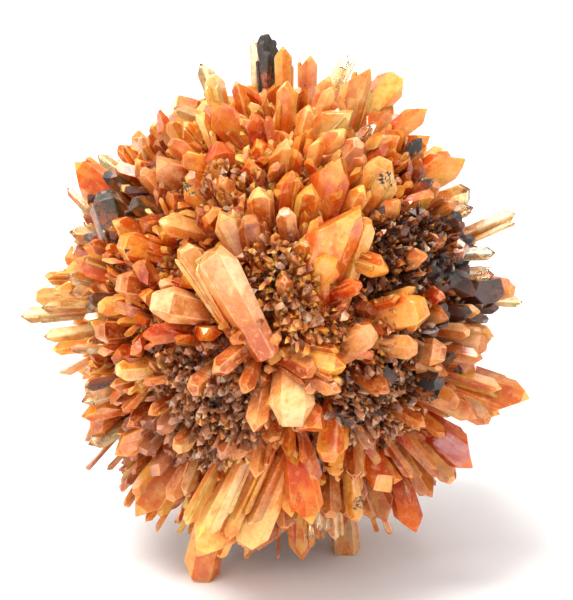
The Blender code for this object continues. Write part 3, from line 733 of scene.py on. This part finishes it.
def spread_directions(count):
    """Directions spread evenly over a ball, along one spiral."""
    golden = math.pi * (3.0 - math.sqrt(5.0))
    for index in range(count):
        height = 1.0 - 2.0 * (index + 0.5) / count
        ring = math.sqrt(1.0 - height * height)
        yield Vector((ring * math.cos(golden * index), height, ring * math.sin(golden * index)))


def unseen_reach(direction):
    """How far the ball reaches on its unseen side, where it stays inside the front view's outline."""
    forward = direction.dot(toward_viewer())
    outward = math.sqrt(max(1.0 - forward * forward, 1e-6))
    ball = 1.0 / math.sqrt((outward / REACH_RIGHT) ** 2 + (forward / REACH_BACK) ** 2)
    return min(ball, RIM_REACH / outward)


def wander(chance):
    return Vector((chance.uniform(-1, 1), chance.uniform(-1, 1), chance.uniform(-1, 1)))


def back_stands(chance):
    """Where the blades of the sides, the back and the underside stand."""
    stands = []
    tones = random.Random(BACK_SEED)
    for direction in spread_directions(2 * BACK_BLADES):
        if direction.dot(toward_viewer()) > -BACK_START:
            continue
        direction = (direction + UNEVEN_PLACE * wander(chance)).normalized()
        tip = direction * unseen_reach(direction) * chance.uniform(*BACK_SHORTER)
        tip.z = max(tip.z, GROUND + CLEAR_OF_GROUND)
        axis = (direction + UNEVEN_AXIS * wander(chance)).normalized()
        low, high = BACK_WIDTHS
        width = low + (high - low) * chance.random() ** NARROW_MORE_OFTEN
        ending = chance.choice([POINT, POINT, ROOF, ROOF, CHISEL, FLAT])
        length = length_to_root(tip, axis)
        lean = chance.uniform(*UNEVEN_LEAN)
        thick = width * chance.uniform(*BACK_FLATNESS)
        broad = chance.uniform(*BROADNESS)
        face = Matrix.Rotation(chance.uniform(0.0, math.tau), 3, axis) @ axis.orthogonal().normalized()
        tone = tone_at(direction, tones)
        stands.append(Stand(tip, axis, face, width, thick, length, ending, lean, broad, tone))
    return stands


def foot_stands():
    """Where the two feet stand that the front view doesn't show."""
    stands = []
    for right, back, width in BACK_FEET:
        tip = Vector((right * MM, back * MM, GROUND - FOOT_DEPTH))
        axis = tip.normalized()
        length = length_to_root(tip, axis)
        face = axis.orthogonal().normalized()
        thick = width * MM * FOOT_FLATNESS
        stands.append(
            Stand(tip, axis, face, width * MM, thick, length, ROOF, FOOT_LEAN, FOOT_BROADNESS, "amber")
        )
    return stands


def tone_at(direction, chance):
    """The tone of a blade that points this way: by the zones of the front, and by broad patches behind."""
    right, up, toward = in_view(direction * ZONE_DEPTH)
    if toward > ZONE_BACK:
        near = min(ZONES, key=lambda zone: math.hypot(right - zone[0], up - zone[1]) / zone[2])
        return chance.choice(near[3].split())
    patch = noise(direction * BACK_PATCH_SCALE)
    for limit, tones in BACK_PATCHES:
        if patch < limit:
            return chance.choice(tones.split())
    return "amber"


def core_place(direction):
    """The bottom of the hollows between the blades in this direction."""
    radius = CRUST_RADIUS + noise(direction * CORE_RADIUS / CORE_LUMP_SIZE) * CORE_LUMPS
    return direction * radius + Vector((0.0, CORE_BACK_SHIFT, 0.0))


def ball_reach(direction):
    """How far the tips reach in this direction."""
    right, up, toward = in_view(direction)
    depth = REACH_FRONT if toward > 0 else REACH_BACK
    scaled = Vector((right / REACH_RIGHT, up / REACH_UP, toward / depth))
    return 1.0 / (scaled.length * MM)


def companions(stand, chance):
    """The thinner blades that grew along a blade, a little shorter than it."""
    if stand.width < COMPANIONS_FROM:
        return
    turn = stand.turn().to_3x3()
    for _ in range(chance.randint(*COMPANION_COUNT)):
        across = chance.uniform(*COMPANION_ACROSS) * stand.width
        over = chance.choice(COMPANION_SIDES) * chance.uniform(*COMPANION_OVER) * stand.thick
        drop = chance.uniform(*COMPANION_DROP) * MM
        axis = (stand.axis + COMPANION_TURN * wander(chance)).normalized()
        tip = stand.tip + turn @ Vector((across, over, 0.0)) - stand.axis * drop
        width = stand.width * chance.uniform(*COMPANION_WIDTHS)
        thick = min(stand.thick * chance.uniform(*COMPANION_FLATNESS), width)
        length = stand.length - drop
        ending = chance.choice([POINT, POINT, ROOF, CHISEL, FLAT])
        lean = chance.uniform(*COMPANION_LEAN)
        yield Stand(tip, axis, stand.face, width, thick, length, ending, lean, SMALL_BROADNESS, stand.tone)


def in_druse(direction):
    """Whether fine crystals cover the ball in this direction."""
    right, up, toward = in_view(direction * ZONE_DEPTH)
    if toward <= 0:
        return False
    return any(math.hypot(right - patch[0], up - patch[1]) < patch[2] for patch in DRUSE_PATCHES)


def drift(direction):
    """A slow change of lean over the ball, which lets neighbouring blades lean the same way."""
    around = direction * DRIFT_SCALE
    return Vector((noise(around), noise(around + DRIFT_ACROSS), noise(around + DRIFT_UP)))


def fill_stands(chance):
    """Where the smaller blades stand that fill the room between the large ones."""
    for count, shares, widths, flats, loose in FILLS:
        for direction in spread_directions(count):
            direction = (direction + FILL_UNEVEN_PLACE * wander(chance)).normalized()
            if in_druse(direction) and chance.random() > PATCH_KEEPS:
                continue
            floor = core_place(direction).length
            at_rim = 1.0 - max(direction.dot(toward_viewer()), 0.0)
            share = chance.uniform(*shares) * (1.0 - LOWER_AT_RIM * at_rim)
            axis = (direction + FILL_DRIFT * drift(direction) + loose * wander(chance)).normalized()
            if direction.z < UNDERSIDE and direction.dot(toward_viewer()) < UNDERSIDE_FRONT:
                share = chance.uniform(*UNDERSIDE_SHARES)
                axis = (direction + UNDERSIDE_LOOSE * wander(chance)).normalized()
            if axis.dot(direction) < FARTHEST_LEAN:
                axis = (axis + UPRIGHTED * direction).normalized()
            reach = floor + (ball_reach(direction) - floor) * share
            width = chance.uniform(*widths)
            thick = width * chance.uniform(*flats)
            face = Matrix.Rotation(chance.uniform(0.0, math.tau), 3, axis) @ axis.orthogonal().normalized()
            ending = chance.choice([POINT, POINT, ROOF, ROOF, CHISEL])
            lean = chance.uniform(*FILL_LEAN)
            length = reach - floor + FILL_ROOT
            tone = tone_at(direction, chance)
            tip = direction * reach
            yield Stand(tip, axis, face, width, thick, length, ending, lean, SMALL_BROADNESS, tone)


class Growth:
    """The points and faces of many blades, with the colours and the place on its blade of every point."""

    def __init__(self):
        self.points = []
        self.faces = []
        self.body = []
        self.tip = []
        self.place = []
        self.along = []
        self.clear = []
        self.soot = []
        self.facet = []
        self.across = []

    def add(self, stand, chance, bevel):
        shape = blade_shape(stand.width, stand.thick, stand.length, stand.ending, stand.lean, stand.broad)
        if bevel:
            bmesh.ops.bevel(
                shape, geom=shape.edges[:], offset=bevel, segments=1, affect="EDGES", clamp_overlap=True,
                material=EDGE
            )
        tone = TONES[stand.tone]
        shade = chance.uniform(*SHADES)
        shift = Vector((chance.uniform(*PATTERN_SHIFT), chance.uniform(*PATTERN_SHIFT), 0.0))
        base = len(self.points)
        hidden = max(stand.length - max(stand.tip.length - CORE_RADIUS, SHORTEST_FREE), 0.0)
        turn = stand.turn()
        for vert in shape.verts:
            along = (vert.co.z - hidden) / (stand.length - hidden)
            self.place.append(vert.co / MM + shift)
            self.along.append(min(max(along, 0.0), 1.0))
            self.across.append(2.0 * vert.co.x / stand.width)
            self.body.append([channel * shade for channel in tone.body] + [1.0])
            self.tip.append([channel * shade for channel in tone.tip] + [1.0])
            self.clear.append(tone.clear)
            self.soot.append(tone.soot)
        bmesh.ops.transform(shape, matrix=turn, verts=shape.verts)
        for vert in shape.verts:
            vert.co.z = max(vert.co.z, GROUND)
        bmesh.ops.recalc_face_normals(shape, faces=shape.faces)
        shape.verts.index_update()
        self.points += [vert.co.copy() for vert in shape.verts]
        for face in shape.faces:
            self.faces.append([base + vert.index for vert in face.verts])
            # Each face gets a random painted light value: low values paint it shaded, high ones lit, and
            # the rounded edge faces lean to lit, a painted highlight along the edges.
            self.facet.append(chance.uniform(*(PAINTED_EDGE_LIGHT if face.material_index == EDGE else PAINTED_FACET_LIGHT)))
        shape.free()

    def add_needles(self, needles):
        """Adds thin three-sided crystals, each given as its foot, axis, width, length, tone and shade."""
        for foot, axis, width, length, tone, shade in needles:
            side = axis.orthogonal().normalized() * width / 2
            away = axis.cross(side)
            base = len(self.points)
            turns = (0.0, math.tau / 3, -math.tau / 3)
            corners = [side * math.cos(turn) + away * math.sin(turn) for turn in turns]
            shoulder = foot + axis * length * SHOULDER
            self.points += [foot + corner * FOOT_WIDTH for corner in corners]
            self.points += [shoulder + corner for corner in corners]
            self.points.append(foot + axis * length + side * POINT_OFF_MIDDLE)
            self.faces.append([base + 2, base + 1, base])
            for number in range(3):
                after = (number + 1) % 3
                self.faces.append([base + number, base + after, base + 3 + after, base + 3 + number])
                self.faces.append([base + 3 + number, base + 3 + after, base + 6])
            # The needle's random shade also serves as its painted light value, so darker needles are
            # painted shaded and brighter ones lit.
            self.facet += [shade] * 7
            self.along += [0.0] * 3 + [SHOULDER] * 3 + [1.0]
            colours = TONES[tone]
            for point in self.points[base:]:
                self.place.append(point / MM)
                self.body.append([channel * shade for channel in colours.body] + [1.0])
                self.tip.append([channel * shade for channel in colours.tip] + [1.0])
                self.clear.append(colours.clear)
                self.soot.append(colours.soot)
                self.across.append(0.0)

    def add_crust(self):
        """Adds the lumpy surface that the needles stand on."""
        shape = bmesh.new()
        bmesh.ops.create_icosphere(shape, subdivisions=CRUST_FINENESS, radius=1.0)
        base = len(self.points)
        for vert in shape.verts:
            direction = vert.co.normalized()
            grain = noise(direction * CORE_RADIUS / CRUST_GRAIN) * CRUST_GRAIN_HEIGHT
            self.points.append(core_place(direction) + direction * grain)
            self.place.append(direction * CORE_RADIUS / MM)
            self.along.append(0.0)
            self.body.append([*CRUST_BODY, 1.0])
            self.tip.append([*CRUST_TIP, 1.0])
            self.clear.append(0.0)
            self.soot.append(CRUST_SOOT)
            self.across.append(0.0)
        self.faces += [[base + vert.index for vert in face.verts] for face in shape.faces]
        # The crust's facet value paints a little shade on it.
        self.facet += [CRUST_SHADE] * len(shape.faces)
        shape.free()

    def piece(self, name, offset, material):
        mesh = bpy.data.meshes.new(name)
        mesh.from_pydata([point + offset for point in self.points], [], self.faces)
        for label, kind, key, values in (
            ("body_tone", "FLOAT_COLOR", "color", self.body),
            ("tip_tone", "FLOAT_COLOR", "color", self.tip),
            ("place", "FLOAT_VECTOR", "vector", self.place),
            ("middle", "FLOAT_VECTOR", "vector", self.points),
            ("along", "FLOAT", "value", self.along),
            ("across", "FLOAT", "value", self.across),
            ("clear", "FLOAT", "value", self.clear),
            ("soot", "FLOAT", "value", self.soot),
        ):
            layer = mesh.attributes.new(label, kind, "POINT")
            layer.data.foreach_set(key, np.array(values, dtype=np.float32).ravel())
        layer = mesh.attributes.new("facet", "FLOAT", "FACE")
        layer.data.foreach_set("value", np.array(self.facet, dtype=np.float32))
        mesh.update()
        mesh.materials.append(material)
        piece = bpy.data.objects.new(name, mesh)
        bpy.context.scene.collection.objects.link(piece)
        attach(piece, "root")
        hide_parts(NODE)
        return piece


def druse_needles(chance):
    """The finest crystals, which line the hollows between the blades."""
    places = [(direction, False) for direction in spread_directions(DRUSE_NEEDLES)]
    places += [(direction, True) for direction in spread_directions(PATCH_NEEDLES) if in_druse(direction)]
    for direction, heaped in places:
        direction = (direction + DRUSE_UNEVEN_PLACE * wander(chance)).normalized()
        rise = chance.uniform(0.0, PATCH_RISE) if heaped else chance.uniform(*DRUSE_SUNK) * MM
        foot = core_place(direction) + direction * rise
        axis = (direction + DRUSE_SPREAD * wander(chance)).normalized()
        length = chance.uniform(*DRUSE_LENGTHS)
        width = length * chance.uniform(*DRUSE_WIDTHS)
        if (foot + axis * length).z < GROUND + DRUSE_CLEAR_OF_GROUND:
            continue
        tone = tone_at(direction, chance)
        tone = "sugar" if chance.random() < SUGAR_SHARE else DRUSE_TONES.get(tone, tone)
        yield foot, axis, width, length, tone, chance.uniform(*DRUSE_SHADES)


class Graph:
    """The nodes of a material or of the world, and short ways to add to them."""

    def __init__(self, tree):
        self.tree = tree

    @classmethod
    def of_material(cls, name):
        material = bpy.data.materials.new(name)
        material.use_nodes = True
        graph = cls(material.node_tree)
        graph.material = material
        graph.shader = material.node_tree.nodes["Principled BSDF"]
        return graph

    def node(self, kind, inputs=None, **settings):
        made = self.tree.nodes.new(kind)
        for key, value in settings.items():
            setattr(made, key, value)
        for key, value in (inputs or {}).items():
            self.put(made.inputs[key], value)
        return made

    def put(self, socket, value):
        if isinstance(value, bpy.types.NodeSocket):
            self.tree.links.new(value, socket)
        else:
            socket.default_value = value

    def attribute(self, name, output="Fac"):
        return self.node("ShaderNodeAttribute", attribute_name=name).outputs[output]

    def math(self, operation, first, second=0.0, clamp=False):
        made = self.node("ShaderNodeMath", {0: first, 1: second}, operation=operation, use_clamp=clamp)
        return made.outputs[0]

    def times(self, first, second):
        return self.math("MULTIPLY", first, second)

    def plus(self, first, second, clamp=False):
        return self.math("ADD", first, second, clamp)

    def steps(self, value, low, high, low_out=0.0, high_out=1.0):
        """A smooth step of the value from low to high."""
        made = self.node(
            "ShaderNodeMapRange",
            {0: value, 1: low, 2: high, 3: low_out, 4: high_out},
            interpolation_type="SMOOTHSTEP",
        )
        return made.outputs[0]

    def tinted(self, colour, tint):
        return self.mix(1.0, colour, tint, "MULTIPLY")

    def mix(self, factor, first, second, blend="MIX"):
        made = self.node("ShaderNodeMix", data_type="RGBA", blend_type=blend)
        self.put(made.inputs[0], factor)
        self.put(made.inputs[6], first)
        self.put(made.inputs[7], second)
        return made.outputs[2]

    def noise(self, vector, scale, detail=2.0, roughness=0.5):
        inputs = {"Vector": vector, "Scale": scale, "Detail": detail, "Roughness": roughness}
        return self.node("ShaderNodeTexNoise", inputs).outputs["Fac"]

    def cells(self, vector):
        """A value that changes from cell to cell."""
        made = self.node("ShaderNodeTexVoronoi", {"Vector": vector, "Scale": 1.0, "Randomness": 1.0})
        return self.node("ShaderNodeSeparateColor", {0: made.outputs["Color"]}).outputs[0]

    def stretched(self, vector, scale):
        made = self.node("ShaderNodeVectorMath", {0: vector, 1: scale}, operation="MULTIPLY")
        return made.outputs[0]

    def measure(self, operation, first, second):
        """A number worked out from two vectors."""
        made = self.node("ShaderNodeVectorMath", {0: first, 1: second}, operation=operation)
        return made.outputs["Value"]


def black_spots(graph, around):
    """How near a point is to the places of the front where black needles sit."""
    up = Vector((0.0, math.sin(VIEW_ELEVATION), math.cos(VIEW_ELEVATION)))
    high = graph.measure("DOT_PRODUCT", around, up)
    toward = graph.measure("DOT_PRODUCT", around, toward_viewer())
    across = graph.node("ShaderNodeSeparateXYZ", {0: around}).outputs["X"]
    seen = graph.node("ShaderNodeCombineXYZ", {"X": across, "Y": high}).outputs[0]
    near = 0.0
    for right, above, radius in BLACK_SPOTS:
        apart = graph.measure("DISTANCE", seen, Vector((right, above, 0.0)) * MM)
        near = graph.math("MAXIMUM", near, graph.steps(apart, radius * MM, SPOT_CORE * radius * MM))
    return graph.times(near, graph.steps(toward, 0.0, SPOT_DEPTH))


def blade_colour(graph, body, tip, patterns):
    """The colour from a blade's root to its tip, with painted shade toward the root, a paler rim that is
    partly painted glow, and lit facets painted nearer the tip colour, before the other pale marks or black
    lie on it.
    """
    along, veils = patterns["along"], patterns["veils"]
    toward_tip = graph.plus(graph.steps(along, *TIP), graph.steps(veils, *TIP_VEILS))
    toward_tip = graph.plus(toward_tip, graph.steps(patterns["cells"], *TIP_CELLS))
    # Painted light and shade: lit facets lean toward the paler tip colour, shaded ones toward the body
    # colour.
    toward_tip = graph.plus(toward_tip, graph.steps(patterns["facet"], *TIP_FACETS), True)
    colour = graph.mix(toward_tip, body, tip)
    # A paler rim toward the blade's side edges: partly its own colour, partly painted glow where the blade
    # is thin.
    rim = graph.times(graph.steps(patterns["rim"], *RIM), patterns["pure"])
    colour = graph.mix(rim, colour, graph.mix(RIM_PALER, tip, RIM_COLOUR))
    # Painted shade: the colour darkens and reddens toward the root, where the blade sinks into the hollows.
    colour = graph.mix(graph.steps(along, *ROOT), graph.tinted(colour, ROOT_SHADE_TINT), colour)
    mottle = graph.steps(patterns["specks"], *MOTTLE)
    return graph.mix(mottle, colour, graph.tinted(colour, MOTTLE_TINT))


def with_marks_and_painted_light(graph, colour, tip, patterns):
    """The colour with its pale cracks, painted shade and painted light on its facets, milky clouds and
    painted glints.
    """
    clouds, facet, pure = patterns["clouds"], patterns["facet"], patterns["pure"]
    crack = graph.math("ABSOLUTE", graph.math("SUBTRACT", clouds, 0.5))
    crack = graph.times(graph.steps(crack, *CRACK), graph.steps(patterns["veils"], *CRACKED_VEILS))
    colour = graph.mix(graph.times(crack, pure), colour, CRACK_COLOUR)
    # Painted shade and painted light: facets with low values take a darker tint, those with high values a
    # paler one, as if turned from or toward the light.
    colour = graph.mix(graph.steps(facet, *SHADED), graph.tinted(colour, SHADE_TINT), colour)
    lit = graph.mix(LIT_PALER, colour, LIT_COLOUR)
    colour = graph.mix(graph.times(graph.steps(facet, *LIT), pure), colour, lit)
    milk = graph.times(graph.steps(clouds, *MILK), pure)
    colour = graph.mix(milk, colour, graph.mix(MILK_PALER, tip, MILK_COLOUR))
    # Painted glints: pale specks where the fine grain is high, fewer where the mineral is sooty.
    glints = graph.steps(patterns["grain"], *GLINTS)
    glints = graph.times(glints, graph.steps(pure, *GLINTS_LEFT))
    return graph.mix(glints, colour, GLINT_COLOUR)


def creedite(name, roughness, sheen, glow):
    """Creedite: its colours run from root to tip, with painted shade at the root, painted light and shade
    on its facets, painted glints, veils, growth lines and specks of black.
    """
    graph = Graph.of_material(name)
    shader = graph.shader
    place = graph.attribute("place", "Vector")
    around = graph.node("ShaderNodeTexCoord").outputs["Object"]
    tip = graph.attribute("tip_tone", "Color")
    soot = graph.attribute("soot")
    patterns = {
        "along": graph.attribute("along"),
        "facet": graph.attribute("facet"),
        "rim": graph.math("ABSOLUTE", graph.attribute("across")),
        "veils": graph.noise(around, VEILS, 4.0, 0.6),
        "clouds": graph.noise(around, CLOUDS, 2.0, 0.6),
        "specks": graph.noise(around, SPECKS, 3.0, 0.7),
        "grain": graph.noise(around, GRAIN, 2.0, 0.6),
        "cells": graph.cells(graph.stretched(place, CELLS)),
        "pure": graph.steps(soot, *PURE),
    }
    along, facet = patterns["along"], patterns["facet"]
    colour = blade_colour(graph, graph.attribute("body_tone", "Color"), tip, patterns)
    colour = with_marks_and_painted_light(graph, colour, tip, patterns)

    spots = black_spots(graph, graph.attribute("middle", "Vector"))
    soot = graph.plus(soot, graph.times(spots, SPOT_SOOT))
    reach = graph.plus(graph.times(soot, graph.steps(along, *SOOT)), LEAST_SOOT)
    black = graph.steps(graph.math("SUBTRACT", reach, patterns["specks"]), *SOOT_EDGE)
    graph.put(shader.inputs["Base Color"], graph.mix(black, colour, BLACK))

    rough = graph.steps(facet, 0.0, 1.0, roughness * ROUGHER_FACETS, roughness)
    rough = graph.plus(rough, graph.times(soot, SOOT_ROUGHNESS))
    graph.put(shader.inputs["Roughness"], graph.plus(rough, graph.times(black, BLACK_ROUGHNESS)))

    seen_through = graph.times(graph.attribute("clear"), graph.steps(along, *CLEAR))
    seen_through = graph.times(seen_through, graph.steps(patterns["veils"], *CLEAR_VEILS))
    seen_through = graph.times(seen_through, graph.math("SUBTRACT", 1.0, black))
    graph.put(shader.inputs["Transmission Weight"], seen_through)

    shader.inputs["IOR"].default_value = BENDING
    shader.inputs["Subsurface Weight"].default_value = glow
    shader.inputs["Subsurface Radius"].default_value = GLOW_COLOUR
    shader.inputs["Subsurface Scale"].default_value = GLOW_REACH
    shader.inputs["Specular IOR Level"].default_value = sheen

    lines = graph.noise(graph.stretched(place, GROWTH_LINES), 1.0, 2.0, 0.5)
    height = graph.plus(graph.times(lines, LINE_HEIGHT), graph.times(patterns["grain"], GRAIN_HEIGHT))
    bump = graph.node("ShaderNodeBump", {"Strength": RELIEF_STRENGTH, "Distance": RELIEF, "Height": height})
    graph.put(shader.inputs["Normal"], bump.outputs[0])
    return graph.material


def floor_material():
    """A plain pale table top."""
    graph = Graph.of_material("floor")
    around = graph.node("ShaderNodeTexCoord").outputs["Object"]
    colour = graph.mix(graph.noise(around, FLOOR_PATCHES), *FLOOR_COLOURS)
    graph.put(graph.shader.inputs["Base Color"], colour)
    graph.shader.inputs["Roughness"].default_value = FLOOR_ROUGHNESS
    graph.shader.inputs["Specular IOR Level"].default_value = FLOOR_SHEEN
    return graph.material


def make_floor():
    bpy.ops.mesh.primitive_plane_add(size=FLOOR_SIZE, location=(0.0, 0.0, 0.0))
    floor = bpy.context.object
    floor.name = "floor"
    floor.data.materials.append(floor_material())


def make_camera(middle):
    """A camera that looks down on the ball from the front, as the front view is taken."""
    camera = bpy.data.cameras.new("camera")
    camera.sensor_width = SENSOR
    camera.lens = SENSOR * VIEW_DISTANCE / FRAME_HEIGHT
    camera.clip_start = NEAREST_SEEN
    seat = bpy.data.objects.new("camera", camera)
    bpy.context.scene.collection.objects.link(seat)
    seat.location = middle + from_view(*FRAME_MIDDLE, 0.0) + toward_viewer() * VIEW_DISTANCE
    seat.rotation_euler = (math.radians(90.0) - VIEW_ELEVATION, 0.0, 0.0)
    bpy.context.scene.camera = seat
    bpy.context.scene.view_settings.view_transform = "Standard"
    bpy.context.scene.view_settings.gamma = CONTRAST


def make_key():
    sun = bpy.data.lights.new("key", "SUN")
    sun.energy = KEY_STRENGTH
    sun.angle = KEY_SIZE
    sun.color = KEY_COLOUR
    lamp = bpy.data.objects.new("key", sun)
    bpy.context.scene.collection.objects.link(lamp)
    lamp.rotation_euler = Vector(KEY_FROM).to_track_quat("Z", "Y").to_euler()


def make_room():
    """A white room, brighter on one side and uneven, so that the facets have something to mirror."""
    world = bpy.data.worlds.new("room")
    bpy.context.scene.world = world
    world.use_nodes = True
    graph = Graph(world.node_tree)
    around = graph.node("ShaderNodeTexCoord").outputs["Generated"]
    side = graph.measure("DOT_PRODUCT", around, BRIGHT_SIDE)
    strength = graph.steps(side, -1.0, 1.0, ROOM_DIM, ROOM_BRIGHT)
    patches = graph.steps(graph.noise(around, ROOM_PATCHES, 1.0), *ROOM_PATCH_EDGE, *ROOM_UNEVEN)
    bumps = graph.noise(around, LAMPS, 0.0)
    lamps = graph.steps(bumps, LAMP_FROM, LAMP_FROM + LAMP_FADE, 0.0, LAMP_STRENGTH)
    background = world.node_tree.nodes["Background"]
    background.inputs["Color"].default_value = (1.0, 1.0, 1.0, 1.0)
    graph.put(background.inputs["Strength"], graph.plus(graph.times(strength, patches), lamps))


def to_origin(growths):
    """The shift that brings the middle of the ball's lowest side to the origin."""
    points = [point for growth in growths for point in growth.points]
    middle = [(min(p[axis] for p in points) + max(p[axis] for p in points)) / 2 for axis in (0, 1)]
    return Vector((-middle[0], -middle[1], -GROUND))


def inside(stand, offset):
    """Whether a small blade ends inside the ball's own box."""
    margin = stand.width / 2
    tip = stand.tip + offset
    return all(BOX_LOW[axis] + margin < tip[axis] < BOX_HIGH[axis] - margin for axis in range(3))


def grow():
    """All blades and fine crystals, as the growths that become pieces, and the shift to the origin."""
    chance = random.Random(BACK_SEED)
    front = TOP + UPPER_RIGHT + LOWER_RIGHT + BOTTOM + LEFT + MIDDLE
    stands = [front_stand(blade, chance) for blade in front]
    stands += back_stands(chance) + foot_stands()
    chance = random.Random(FILL_SEED)
    large, clear, small = Growth(), Growth(), Growth()

    def add(stand, others, bevel):
        growth = clear if stand.tone in CLEAR_TONES else others
        growth.add(stand, chance, bevel)

    for stand in stands:
        add(stand, large, LARGE_BEVEL)
    offset = to_origin([large, clear])
    between = [front_stand(blade, chance) for blade in BETWEEN]
    for stand in between:
        add(stand, large, BETWEEN_BEVEL)
    for stand in stands + between:
        for companion in companions(stand, chance):
            if inside(companion, offset):
                add(companion, large, COMPANION_BEVEL)
    for stand in fill_stands(chance):
        if inside(stand, offset):
            add(stand, small, 0.0)
    return large, clear, small, list(druse_needles(chance)), offset


def main():
    large, clear, small, needles, offset = grow()
    orange = creedite("creedite", 0.055, 0.8, GLOW)
    glassy = creedite("clear creedite", 0.04, 0.55, GLOW)
    sugar = creedite("creedite druse", 0.06, 0.8, DRUSE_GLOW)
    large.piece("large_blades", offset, orange)
    clear.piece("clear_blades", offset, glassy)
    small.piece("small_blades", offset, orange)
    crust = Growth()
    crust.add_crust()
    crust.piece("crust", offset, sugar)
    for number in range(DRUSE_PIECES):
        druse = Growth()
        druse.add_needles(needles[number::DRUSE_PIECES])
        druse.piece(f"druse_{number + 1}", offset, sugar)
    make_floor()
    make_camera(offset)
    make_key()
    make_room()


main()
